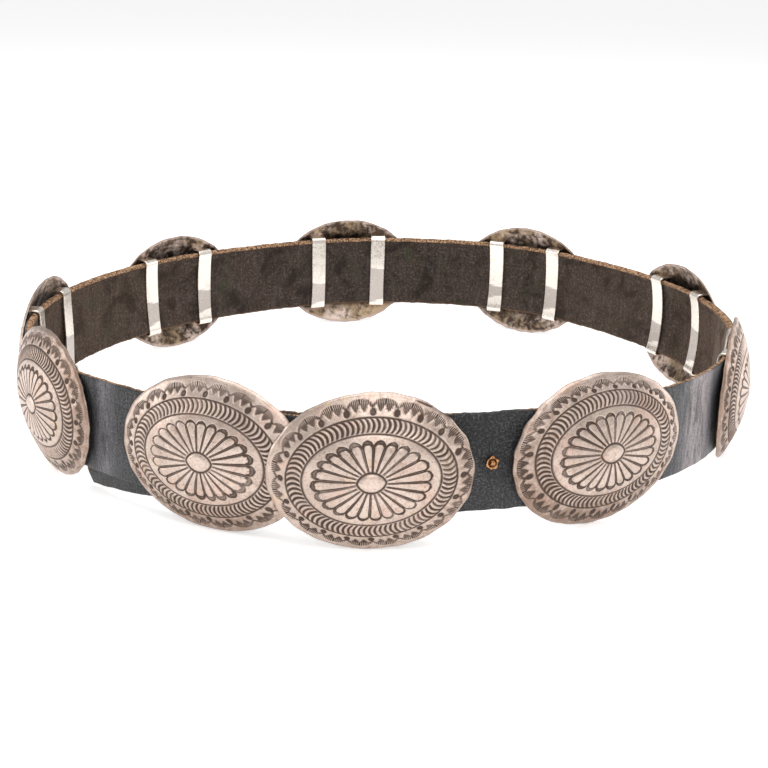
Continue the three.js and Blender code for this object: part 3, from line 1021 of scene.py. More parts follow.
@dataclass
class Stamping:
    """One concho's pattern, struck by hand: no two blows are alike.

    Sides and starts are places from 0 to 1 round the concho. ragged and worn wear its rim, worn
    in mm at its worn side, painted_shade is painted shade on its face towards shade_side, and back_darkening
    darkens its back.
    """

    seed: int
    petals: int = 24
    crescents: int = 80
    fans: int = 20
    faint: float = 0.25
    heavy_side: float = 0.4
    heavier: float = 0.35
    fans_start: float = 0.0
    ragged: float = 0.8
    shade_side: float = 0.0
    painted_shade: float = 0.25
    back_darkening: float = 0.0
    worn_side: float = 0.0
    worn: float = 0.0
    shifted: tuple[float, float] = (0.0, 0.0)
    rolled: float = 0.0
    scars: tuple[Scar, ...] = ()

    def __post_init__(self) -> None:
        """Draws this concho's own irregularities."""
        draw = np.random.default_rng(self.seed)
        self.turned = draw.uniform(-0.006, 0.006)
        self.drift = Wander(draw, 2, 7)
        self.force = Wander(draw, 1, 5)
        self.outline = Wander(draw, 3, 26)
        self.dish = Wander(draw, 2, 4)
        self.blow = {
            "petal": draw.uniform(0.72, 1.0, self.petals),
            "crescent": draw.uniform(0.75, 1.0, self.crescents),
            "fan": draw.uniform(0.82, 1.0, self.fans),
            "dot": draw.uniform(0.82, 1.0, self.fans),
        }
        self.petal_width = draw.uniform(0.92, 1.06, self.petals)
        self.fan_lean = draw.uniform(-0.5, 0.5, self.fans)
        self.crescent_slip = draw.uniform(-0.05, 0.05, self.crescents)
        self.dot_slip = draw.uniform(-0.35, 0.35, (self.fans, 2))

    def local(
        self, points: np.ndarray, oval: Oval, turn: np.ndarray
    ) -> tuple[np.ndarray, np.ndarray]:
        """Reads points in the axes of places on an oval.

        Args:
            points: rows of x, y.
            oval: the oval.
            turn: for each point, the place on the oval.

        Returns:
            Distances along the oval and out of it.
        """
        ahead = round_oval(oval, turn)
        away = np.stack([ahead[:, 1], -ahead[:, 0]], axis=1)
        offset = points - on_oval(oval.wide, oval.high, turn)
        return (offset * ahead).sum(axis=1), (offset * away).sum(axis=1)

    def boss(self, points: np.ndarray) -> tuple[np.ndarray, np.ndarray]:
        """Height and darkness of the middle boss, pointed at its two ends.

        Args:
            points: rows of x, y on the face.

        Returns:
            Rise in mm, and darkness.
        """
        form = np.abs(points[:, 0] / Oval.BOSS.wide) ** 2 + np.abs(points[:, 1] / Oval.BOSS.high) ** 1.45
        away = (form - 1.0) / 0.40
        groove = bell(away - 0.42, 0.52)
        return 0.38 * smooth(0.1, -1.3, away) - 0.24 * groove, 0.95 * groove

    def flower(self, points: np.ndarray, turn: np.ndarray, high: np.ndarray) -> tuple[np.ndarray, np.ndarray]:
        """Height and darkness of the petals.

        Args:
            points: rows of x, y on the face.
            turn: places round the pattern.
            high: half height of each point's oval.

        Returns:
            Rise in mm, and darkness.
        """
        place = np.mod(turn, 1.0) * self.petals + 0.5
        index = np.floor(place).astype(int) % self.petals
        middle = index / self.petals
        across, out = self.petal_axes(points, middle)
        cap = 2.6
        half = 2.22 * self.petal_width[index]
        rise = out + cap
        form = np.hypot(across / half, rise / cap)
        crown = np.arctan2(np.maximum(rise, 0.0), np.abs(across) + 1e-6) / (math.pi / 2)
        inward = (1.0 - form) * (half + (cap - half) * crown)
        side = np.cos(TURN * (middle - self.heavy_side))
        thick = (0.66 + 0.80 * crown**1.2) * (1.0 + self.heavier * side)
        force = self.blow["petal"][index] * (0.92 + self.faint * self.force.at(turn))
        arc = smooth(-0.14, 0.06, inward) * smooth(thick + 0.16, thick - 0.06, inward)
        arc *= smooth(-0.9, -0.3, rise)
        core = bell((inward - 0.5 * thick) / thick, 0.26) * smooth(0.9, 1.5, thick)
        away = np.abs(place - np.rint(place)) * 4.93 * np.clip(high / Oval.PETAL_TIPS.high, 0.0, 1.0)
        reach = smooth(3.75, 4.3, high) * smooth(0.9, 0.2, rise)
        wide = 0.32 + 0.22 * smooth(4.0, 12.5, high)
        groove = smooth(wide + 0.16, wide - 0.08, away) * reach
        ridge = bell(away, 0.13) * reach * 0.38
        dark = np.maximum(arc * (1.0 - 0.34 * core), groove - ridge) * force
        inside = smooth(4.3, 6.0, high) * (form < 1.0) * (out < 0.0)
        dome = 0.13 * (1.0 - np.clip(np.abs(across) / np.maximum(away + np.abs(across), 0.3), 0, 1) ** 2)
        lip = 0.08 * bell(inward + 0.35, 0.25) * (rise > -0.3)
        sunk = 0.36 * np.maximum(arc, groove) * force - 0.10 * ridge
        return dome * inside + lip - sunk, dark

    def petal_axes(self, points: np.ndarray, middle: np.ndarray) -> tuple[np.ndarray, np.ndarray]:
        """Reads points in the slanting axes of petals: along the flower's rim, and along the petal.

        Args:
            points: rows of x, y.
            middle: for each point, the place of its petal.

        Returns:
            Distances along the rim and beyond the petal's tip.
        """
        tip = on_oval(*Oval.PETAL_TIPS.value, middle)
        rim = round_oval(Oval.PETAL_TIPS, middle)
        root = 8.0
        axis = unit_rows(tip - on_oval(half_width_at(np.array(root)), root, middle))
        offset = points - tip
        size = rim[:, 0] * axis[:, 1] - rim[:, 1] * axis[:, 0]
        across = (offset[:, 0] * axis[:, 1] - offset[:, 1] * axis[:, 0]) / size
        out = (rim[:, 0] * offset[:, 1] - rim[:, 1] * offset[:, 0]) / size
        return across, out

    def band(self, phase: np.ndarray, level: np.ndarray, turn: np.ndarray) -> tuple[np.ndarray, np.ndarray]:
        """Height and darkness of the band of crescents.

        Args:
            phase: place in the pattern of crescents, in whole crescents.
            level: 0 at the inner line and 1 at the outer one.
            turn: places round the pattern.

        Returns:
            Rise in mm, and darkness.
        """
        index = np.floor(phase + 0.1).astype(int) % self.crescents
        part = phase + 0.1 - np.floor(phase + 0.1)
        inside = smooth(0.02, 0.14, level) * smooth(0.985, 0.88, level)
        force = self.blow["crescent"][index] * (0.92 + self.faint * self.force.at(turn + 0.3))
        force *= 1.0 + 0.3 * self.heavier * np.cos(TURN * (turn - self.heavy_side))
        half = 0.12 + 0.11 * np.clip(1.0 - ((level - 0.42) / 0.6) ** 2, 0.0, 1.0)
        away = np.abs(part - 0.30)
        cut = smooth(half + 0.13, half - 0.02, away) * inside
        ridge = bell(part - 0.66, 0.16) * inside
        return 0.10 * ridge - 0.34 * cut * force, cut * force

    def dots(self, points: np.ndarray, turn: np.ndarray) -> tuple[np.ndarray, np.ndarray]:
        """Height and darkness of the round dots between the fans.

        Args:
            points: rows of x, y on the face.
            turn: places round the pattern.

        Returns:
            Rise in mm, and darkness.
        """
        index = np.rint(np.mod(turn, 1.0) * self.fans - self.fans_start).astype(int) % self.fans
        across, out = self.local(points, Oval.DOTS, (index + self.fans_start) / self.fans)
        slip = self.dot_slip[index]
        away = np.hypot(across - slip[:, 0], out - 0.6 * slip[:, 1])
        pit = smooth(1.26, 0.98, away)
        ring = bell(away - 0.80, 0.32)
        force = self.blow["dot"][index]
        return -0.32 * pit * force, np.maximum(0.80 * pit, 1.1 * ring) * force

    def border(self, turn: np.ndarray, high: np.ndarray) -> tuple[np.ndarray, np.ndarray, np.ndarray]:
        """Height, darkness and hatching of the fans round the edge.

        Args:
            turn: places round the pattern.
            high: half height of each point's oval.

        Returns:
            Rise in mm, darkness, and how strongly it is hatched.
        """
        place = np.mod(turn, 1.0) * self.fans - self.fans_start
        index = np.floor(place).astype(int) % self.fans
        part = place - np.floor(place)
        side = 2.0 * part - 1.0
        crown = Oval.CROWNS.high + 0.25 * self.fan_lean[index] * side
        arc = crown - 2.1 * np.abs(side) ** 3.0
        tooth = np.abs(3.0 * part - np.rint(3.0 * part)) * 2.0
        tip = np.where(np.abs(side) > 0.67, 25.1, 24.1)
        low = tip + (26.1 - tip) * tooth**1.5
        low = np.minimum(low, arc - 0.45)
        shown = smooth(-0.12, 0.12, high - low) * smooth(0.14, -0.08, high - arc)
        force = self.blow["fan"][index] * (0.95 + 1.3 * self.faint * self.force.at(turn + 0.6))
        force = np.clip(force, 0.3, 1.0)
        teeth = smooth(26.9, 25.9, high)
        dark = shown * force * (0.50 + 0.24 * teeth)
        return -0.26 * shown * force, dark, shown * force * (1.0 - 0.68 * teeth)

    def marks_at(
        self, points: np.ndarray, turn: np.ndarray, high: np.ndarray, phase: np.ndarray
    ) -> tuple[np.ndarray, np.ndarray, np.ndarray]:
        """The whole pattern at points of the face.

        Args:
            points: rows of x, y, before this concho's own drift.
            turn: places round the pattern.
            high: half height of each point's oval.
            phase: place in the pattern of crescents.

        Returns:
            Rise in mm, darkness, and hatching.
        """
        rise = np.zeros(len(high))
        dark = np.zeros(len(high))
        hatch = np.zeros(len(high))
        for line in (Oval.INNER_LINE.high, Oval.OUTER_LINE.high):
            groove = bell(high - line, 0.33)
            rise -= 0.24 * groove
            dark = np.maximum(dark, 0.95 * groove * (0.9 + 0.4 * self.faint * self.force.at(turn)))
        filed = bell(high - 29.25, 0.22) * (0.5 + 0.5 * self.outline.at(turn))
        rise -= 0.12 * filed
        dark = np.maximum(dark, 0.45 * filed)
        level = band_level(high)
        middle = high < 16.4
        band = (level > 0.0) & (level < 1.0)
        outer = high > 22.9
        fans = self.border(turn[outer], high[outer])
        hatch[outer] = fans[2]
        for where, (lift, shade) in (
            (middle, self.boss(points[middle])),
            (middle, self.flower(points[middle], turn[middle], high[middle])),
            (band, self.band(phase[band], level[band], turn[band])),
            (outer, self.dots(points[outer], turn[outer])),
            (outer, fans[:2]),
        ):
            rise[where] += lift
            dark[where] = np.maximum(dark[where], shade)
        return rise, dark, hatch

    def scarred(self, points: np.ndarray) -> tuple[np.ndarray, np.ndarray]:
        """Cracks, flakes and nicks of the border.

        Args:
            points: rows of x, y on the face.

        Returns:
            Depth in mm, and darkness.
        """
        depth = np.zeros(len(points))
        dark = np.zeros(len(points))
        for scar in self.scars:
            start, end = np.array(scar.start), np.array(scar.end)
            run = end - start
            share = np.clip(((points - start) @ run) / (run @ run), 0.0, 1.0)
            away = np.hypot(*(points - start - share[:, None] * run).T)
            width = scar.width * (0.25 + 0.75 * np.sqrt(np.clip(4 * share * (1 - share), 0.0, 1.0)))
            cut = smooth(width, 0.35 * width, away)
            depth = np.maximum(depth, scar.depth * cut)
            dark = np.maximum(dark, scar.dark * cut)
        return depth, dark


# Corners of a strip's section, in shares of its half width and half thickness.
STRIP_SECTION = np.array(
    [
        (0.0, 1.0), (-0.955, 1.0), (-1.0, 0.45), (-0.99, -0.6),
        (-0.93, -1.0), (0.93, -1.0), (0.99, -0.6), (1.0, 0.45),
    ]
)


@dataclass
class Conchos:
    """The ten domed plates and their soldered strips.

    Sizes are in mm, and uneven in shares of a turn. The struck front lies struck_in behind the
    solid's, each rim is filed_off short, and the strips' legs reach leg_sunk into the plate.
    Where the strap is cupped by more than cup_seen, the strips lie close on it.
    """

    plan: BeltPlan
    blank: DrumBlank = field(default_factory=DrumBlank)
    strip_blank: RodBlank = field(default_factory=lambda: RodBlank(around=8, stations=56))
    bulge: float = 0.74
    rim_round: float = 0.45
    struck_in: float = 0.14
    filed_off: float = 0.27
    edge_wander: float = 0.42
    uneven: float = 0.0022
    warp: float = 0.10
    back_inset: float = 0.4
    strip_seed: int = 400
    strip_bend: float = 1.7
    leg_height: float = 19.9
    leg_sunk: float = 0.5
    leg_limit: float = 0.4
    fold_height: float = 17.6
    cup_seen: float = 0.9
    ring_plan: tuple[tuple[float, int], ...] = (
        (0.35, 0),
        (2.8, 4),
        (5.0, 8),
        (11.2, 9),
        (15.7, 17),
        (17.0, 3),
        (17.9, 5),
        (22.35, 12),
        (23.25, 5),
        (28.4, 16),
        (30.0, 6),
    )

    def ring_heights(self) -> np.ndarray:
        """Returns the half heights of the front's rings, close where the pattern is fine."""
        rows = [self.ring_plan[0][0]]
        for high, count in self.ring_plan[1:]:
            rows.extend(np.linspace(rows[-1], high, count + 1)[1:])
        return np.array(rows)

    def crescent_columns(self, column: np.ndarray, level: np.ndarray) -> np.ndarray:
        """Places the mesh's columns along the crescents.

        Args:
            column: columns as whole numbers.
            level: 0 at the inner line and 1 at the outer one.

        Returns:
            Places round the pattern, in whole crescents.
        """
        each = self.blank.around_front // Stamping.crescents
        part = np.array([0.06, 0.16, 0.24, 0.36, 0.54, 0.78])
        index = np.rint(column).astype(int)
        exact = index // each + part[index % each]
        even = column / each
        hold = smooth(0.0, 0.10, level) * smooth(1.0, 0.90, level)
        return even + (exact - even) * hold

    def outline(
        self, stamping: Stamping, turn: np.ndarray, place: np.ndarray, high: np.ndarray
    ) -> np.ndarray:
        """Places a plate's points in plan: drifting, shifted, and worn at the rim.

        Args:
            stamping: its pattern.
            turn: places round the drum.
            place: places round the pattern.
            high: half height of each point's oval.

        Returns:
            Rows of x, y.
        """
        drift = stamping.turned + self.uneven * stamping.drift.at(place)
        points = on_oval(half_width_at(high), high, place + drift * smooth(3.0, 8.0, high))
        points += np.array(stamping.shifted) * smooth(27.0, 22.0, high)[:, None]
        wander = np.clip(0.5 + 0.5 * stamping.outline.at(turn), 0.0, 1.0)
        trim = self.filed_off + stamping.ragged * self.edge_wander * wander
        trim += stamping.worn * np.clip(np.cos(TURN * (turn - stamping.worn_side)), 0.0, 1.0) ** 3
        return points * (1.0 - trim * smooth(27.0, 30.0, high) / Oval.RIM.high)[:, None]

    def plate(
        self, name: str, stamping: Stamping, look: bpy.types.Material, blank: bpy.types.Object
    ) -> bpy.types.Object:
        """Shapes one concho's plate from the drum.

        Args:
            name: its node.
            stamping: its pattern.
            look: its finish.
            blank: the modelled drum.

        Returns:
            The plate's object.
        """
        piece = copy_of(blank, name + "_plate")
        drum = points_of(piece)
        out = np.hypot(drum[:, 0], drum[:, 1])
        turn = np.mod(np.arctan2(drum[:, 1], drum[:, 0]) / TURN, 1.0)
        turn[out < HUB / 2] = 0.0
        column = turn * self.blank.around_front
        level = drum[:, 2]
        is_front = level > -1e-4
        is_back = level < -1.0 + 1e-4
        rings = self.ring_heights()
        ring = np.clip((out - HUB) / (1.0 - HUB), 0.0, 1.0)
        high = np.interp(ring, np.linspace(0.0, 1.0, len(rings)), rings)
        back_high = ring * (Oval.RIM.high - self.back_inset)
        high = np.where(is_back, np.maximum(back_high, 0.6), high)
        high = np.where(out < HUB / 2, 0.0, high)
        high = np.where(~is_front & ~is_back, Oval.RIM.high, high)

        band = band_level(high)
        in_band = is_front & (band > 0.0) & (band < 1.0)
        span = np.clip(band, 0.0, 1.0)
        phase = self.crescent_columns(column, span)
        bow = self.bulge * (1.0 - (2.0 * span - 1.0) ** 2)
        place = np.where(in_band, (phase - bow) / stamping.crescents, turn)

        pattern_points = on_oval(half_width_at(high), high, place)
        rise, dark, hatch = stamping.marks_at(pattern_points, place, high, phase)
        points = self.outline(stamping, turn, place, high)
        gouge, stain = stamping.scarred(points)

        under = self.plan.underside(np.minimum(rim_share(*points.T), 1.0))
        top = under + self.plan.plate_thickness
        warp = self.warp * stamping.dish.at(turn) * smooth(8.0, 26.0, high)
        bevel = self.rim_round * smooth(29.0, 30.0, high) ** 2
        front = top - self.struck_in + rise - bevel - gouge + np.minimum(warp, 0.0)
        rim_part = -level
        brow = top - self.struck_in - self.rim_round
        side = brow - (brow - under) * smooth(0.0, 1.0, rim_part)
        height = np.where(is_front, front, np.where(is_back, under, side))
        height = np.where(is_back & (out > 0.999), under + 0.05, height)
        cos, sin = math.cos(math.radians(stamping.rolled)), math.sin(math.radians(stamping.rolled))
        points = points @ np.array([[cos, sin], [-sin, cos]])
        points[:, 1] = np.clip(points[:, 1], -self.plan.half_height, self.plan.half_height)
        put_points(piece, to_world(np.column_stack([points, height]), self.seats[name]))

        shade = np.clip(np.maximum(dark, stain), 0.0, 1.0)
        rimward = smooth(0.945, 0.985, ring)
        # Painted shade: the upper half of the hollow back, which faces down, is darker; back_darkening
        # darkens a concho's whole back.
        upper_shade = smooth(-8.0, 12.0, points[:, 1])
        darker_back = np.maximum(upper_shade, stamping.back_darkening)
        put_marks(piece, "oxide", np.where(is_front, shade, np.where(is_back, rimward, 0.15)))
        put_marks(piece, "hatch", np.where(is_front, hatch, 0.0))
        part = np.mod(place * stamping.fans - stamping.fans_start, 1.0)
        put_marks(piece, "fan", 1.0 - np.abs(2.0 * part - 1.0))
        # Painted shade: the face's flange is darker towards shade_side, where less light falls.
        toward = np.cos(TURN * (turn - stamping.shade_side))
        painted_shade = stamping.painted_shade * (0.4 + 0.6 * toward) * smooth(12.0, 26.0, high)
        put_marks(piece, "painted_shade", np.where(is_back, darker_back, painted_shade))
        put_marks(piece, "back", np.where(is_back, 1.0, np.where(is_front, 0.0, 0.25)))
        dress(piece, look)
        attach(piece, "root")
        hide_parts(name)
        return piece

    def strip_path(
        self, top: float, foot: float, layers: float, bow: float, cup: float, knee: float
    ) -> np.ndarray:
        """The middle line of one strip, from the plate over the strap's top edge and down.

        Args:
            top: height outwards where its upper leg meets the plate.
            foot: the same of its lower leg.
            layers: depth of strap that it holds.
            bow: how far its web stands off at the knee.
            cup: how far the strap below it is hollowed.
            knee: height of the knee, where the web turns back.

        Returns:
            Rows of height up and distance out, one for each station of the strips' blank.
        """
        plan = self.plan
        half = plan.strap_width / 2 + plan.strip_play + plan.strip_thickness / 2
        web = -(layers + plan.strip_play + plan.strip_thickness / 2)
        bend = self.strip_bend
        corner = np.linspace(0.0, math.pi / 2, 9)
        rows = [(half, top), (half, (top + web + bend) / 2)]
        rows += [(half - bend + bend * math.cos(a), web + bend - bend * math.sin(a)) for a in corner]
        for share in np.linspace(0.0, 1.0, 25)[1:-1]:
            y = (half - bend) * (1.0 - 2.0 * share)
            span = half - bend - knee if y > knee else half - bend + knee
            climb = 1.0 - abs(y - knee) / span
            hollow = cup * (1.0 - (y / half) ** 2)
            rows.append((y, web + hollow - bow * (0.4 * climb + 0.6 * math.sin(math.pi * climb / 2))))
        rows += [
            (-(half - bend) - bend * math.sin(a), web + bend - bend * math.cos(a)) for a in corner
        ]
        rows += [(-half, (foot + web + bend) / 2), (-half, foot)]
        path = np.array(rows)
        run = run_along(path)
        even = np.linspace(0.0, run[-1], self.strip_blank.stations)
        return np.column_stack([np.interp(even, run, path[:, 0]), np.interp(even, run, path[:, 1])])

    def strip(
        self, name: str, side: float, draw: np.random.Generator, seed: int, blank: bpy.types.Object
    ) -> bpy.types.Object:
        """Bends one strip round the strap.

        Args:
            name: the concho's node.
            side: -1 for the strip before the concho's middle and 1 for the one past it.
            draw: where the random numbers come from.
            seed: sets where its width swells.
            blank: the modelled rod.

        Returns:
            The strip's object.
        """
        plan = self.plan
        layers = plan.strap_thickness
        if name == plan.buckle:
            layers += plan.layer_lap
        piece = copy_of(blank, f"{name}_strip")
        corner, share, out = self.strip_blank.read(piece)
        station = np.rint(share * (self.strip_blank.stations - 1)).astype(int)
        place = plan.stations[name] + side * plan.strip_spacing / 2
        seat = plan.strap_seat(place, plan.strip_width / 2)
        inverse = self.seats[name].inverted() @ seat
        ends = []
        for y in (self.leg_height, -self.leg_height):
            seen = inverse @ Vector((0.0, y, 0.0))
            ends.append(float(plan.underside(rim_share(seen.x, seen.y))) + self.leg_sunk - seen.z)
        cup = float(plan.cup(np.array(place)))
        bow = 0.25 if name in (plan.overlapped, plan.buckle) else draw.uniform(0.9, 1.7)
        lean, curve = draw.uniform(-0.5, 0.5), draw.uniform(-0.35, 0.35)
        # Painted reflection: a darker band runs from the foot up to the knee, at a random height and
        # strength.
        knee_and_shade_edge, shade_strength = draw.uniform(-6.0, 3.0), draw.uniform(0.65, 1.0)
        foot_from = -17.0
        if cup > self.cup_seen:
            foot_from = draw.uniform(-15.0, -11.5)
            bow = min(bow, 0.2)

        path = self.strip_path(ends[0], ends[1], layers, bow, cup, knee_and_shade_edge)
        step = unit_rows(np.gradient(path, axis=0))
        away = np.column_stack([step[:, 1], -step[:, 0]])
        half, thick = plan.strip_width / 2, plan.strip_thickness / 2 - 0.05
        section = STRIP_SECTION[corner] * np.where(out > 0.99, 1.0, 0.8)[:, None]
        tilt = path[station, 0] / (plan.strap_width / 2)
        width = 1.0 - 0.035 * (1.0 + np.sin(3.1 * tilt + seed)) / 2
        x = section[:, 0] * half * width + lean * tilt + curve * (1.0 - tilt**2)
        yz = path[station] + away[station] * (section[:, 1] * thick)[:, None]
        inside = np.column_stack([x, yz]) @ np.array(inverse.to_3x3()).T + np.array(inverse.translation)
        limit = plan.underside(rim_share(inside[:, 0], inside[:, 1])) + self.leg_limit
        inside[:, 2] = np.minimum(inside[:, 2], limit)
        put_points(piece, to_world(inside, self.seats[name]))

        # Painted dark reflection between foot and knee, and painted shade along the crease at fold_height.
        edge = knee_and_shade_edge + 0.12 * x
        foot = foot_from - 0.25 * x
        painted_shade = smooth(edge + 0.5, edge - 0.5, yz[:, 0]) * smooth(foot - 0.4, foot + 0.4, yz[:, 0])
        crease_shade = bell(yz[:, 0] - self.fold_height, 0.5)
        put_marks(piece, "painted_shade", np.maximum(painted_shade * shade_strength, 0.55 * crease_shade))
        return piece

    def strips(
        self, name: str, seed: int, look: bpy.types.Material, blank: bpy.types.Object
    ) -> bpy.types.Object:
        """Bends one concho's two strips round the strap.

        Args:
            name: the concho's node.
            seed: sets how they lean and bow.
            look: their finish.
            blank: the modelled rod.

        Returns:
            One object with both strips.
        """
        draw = np.random.default_rng(seed)
        made = [self.strip(name, side, draw, seed, blank) for side in (-1.0, 1.0)]
        clear_selection()
        for piece in made:
            piece.select_set(True)
        bpy.context.view_layer.objects.active = made[0]
        bpy.ops.object.join()
        strips = bpy.context.object
        strips.name = name + "_strips"
        strips.data.name = strips.name
        dress(strips, look)
        bpy.ops.object.shade_smooth_by_angle(angle=CREASE)
        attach(strips, "root")
        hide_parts(name)
        return strips

    def build(self, silver: bpy.types.Material, strip_silver: bpy.types.Material) -> None:
        """Builds every concho.

        Args:
            silver: finish of the plates.
            strip_silver: finish of the strips.
        """
        names = [name for name, _ in self.plan.gap_after] + [self.plan.overlapped]
        self.seats = {name: self.plan.concho_seat(name) for name in names}
        drum = self.blank.model()
        rod = self.strip_blank.model()
        for order, name in enumerate(names):
            plate = self.plate(name, STAMPINGS[name], silver, drum)
            strips = self.strips(name, self.strip_seed + order, strip_silver, rod)
            log.info("%s: %d and %d faces", name, len(plate.data.polygons), len(strips.data.polygons))
        for blank in (drum, rod):
            bpy.data.objects.remove(blank)


BUCKLE_SCARS: tuple[Scar, ...] = (
    Scar((17.4, 25.4), (22.6, 22.6), 0.5, 0.25, 0.8),
    Scar((24.2, 22.2), (29.4, 18.0), 1.0, 0.35, 0.75),
    Scar((35.4, 9.8), (36.5, 8.4), 0.7, 0.35, 0.95),
    Scar((34.9, 6.1), (38.0, 5.7), 0.45, 0.4, 0.9),
    Scar((35.6, 3.9), (37.8, 3.2), 0.4, 0.3, 0.5),
)

STAMPINGS: dict[str, Stamping] = {
    "buckle_concho": Stamping(
        31,
        faint=0.08,
        heavy_side=0.40,
        heavier=0.40,
        shifted=(-0.4, -0.7),
        rolled=5.0,
        fans_start=-0.28,
        shade_side=0.97,
        painted_shade=0.5,
        ragged=0.9,
        worn=1.2,
        scars=BUCKLE_SCARS,
    ),
    "concho_9": Stamping(
        94,
        faint=0.10,
        heavy_side=0.94,
        heavier=0.62,
        shifted=(-0.8, -0.3),
        rolled=-1.0,
        fans_start=0.1,
        shade_side=0.75,
        painted_shade=0.7,
    ),
    "concho_1": Stamping(
        38,
        faint=0.08,
        heavy_side=0.55,
        heavier=0.15,
        shifted=(0.9, 1.1),
        rolled=4.0,
        fans_start=0.45,
        worn_side=0.5,
        worn=0.7,
        shade_side=0.66,
        painted_shade=0.9,
    ),
    "concho_8": Stamping(87, faint=0.10, heavy_side=0.35, heavier=0.2, shade_side=0.05, painted_shade=0.9),
    "concho_2": Stamping(45, faint=0.10, heavy_side=0.5, heavier=0.2, shade_side=0.5, painted_shade=1.0),
    "concho_3": Stamping(52, back_darkening=0.55),
    "concho_4": Stamping(59, back_darkening=1.0),
    "concho_5": Stamping(66),
    "concho_6": Stamping(73, back_darkening=0.95),
    "concho_7": Stamping(80, back_darkening=0.9),
}


@dataclass(frozen=True)
class LightSpot:
    """A spot of painted light on the strap: how far it lies past a concho's middle, in mm, and how grey it is
    painted.
    """

    near: str
    past: float
    width: float
    grey: float


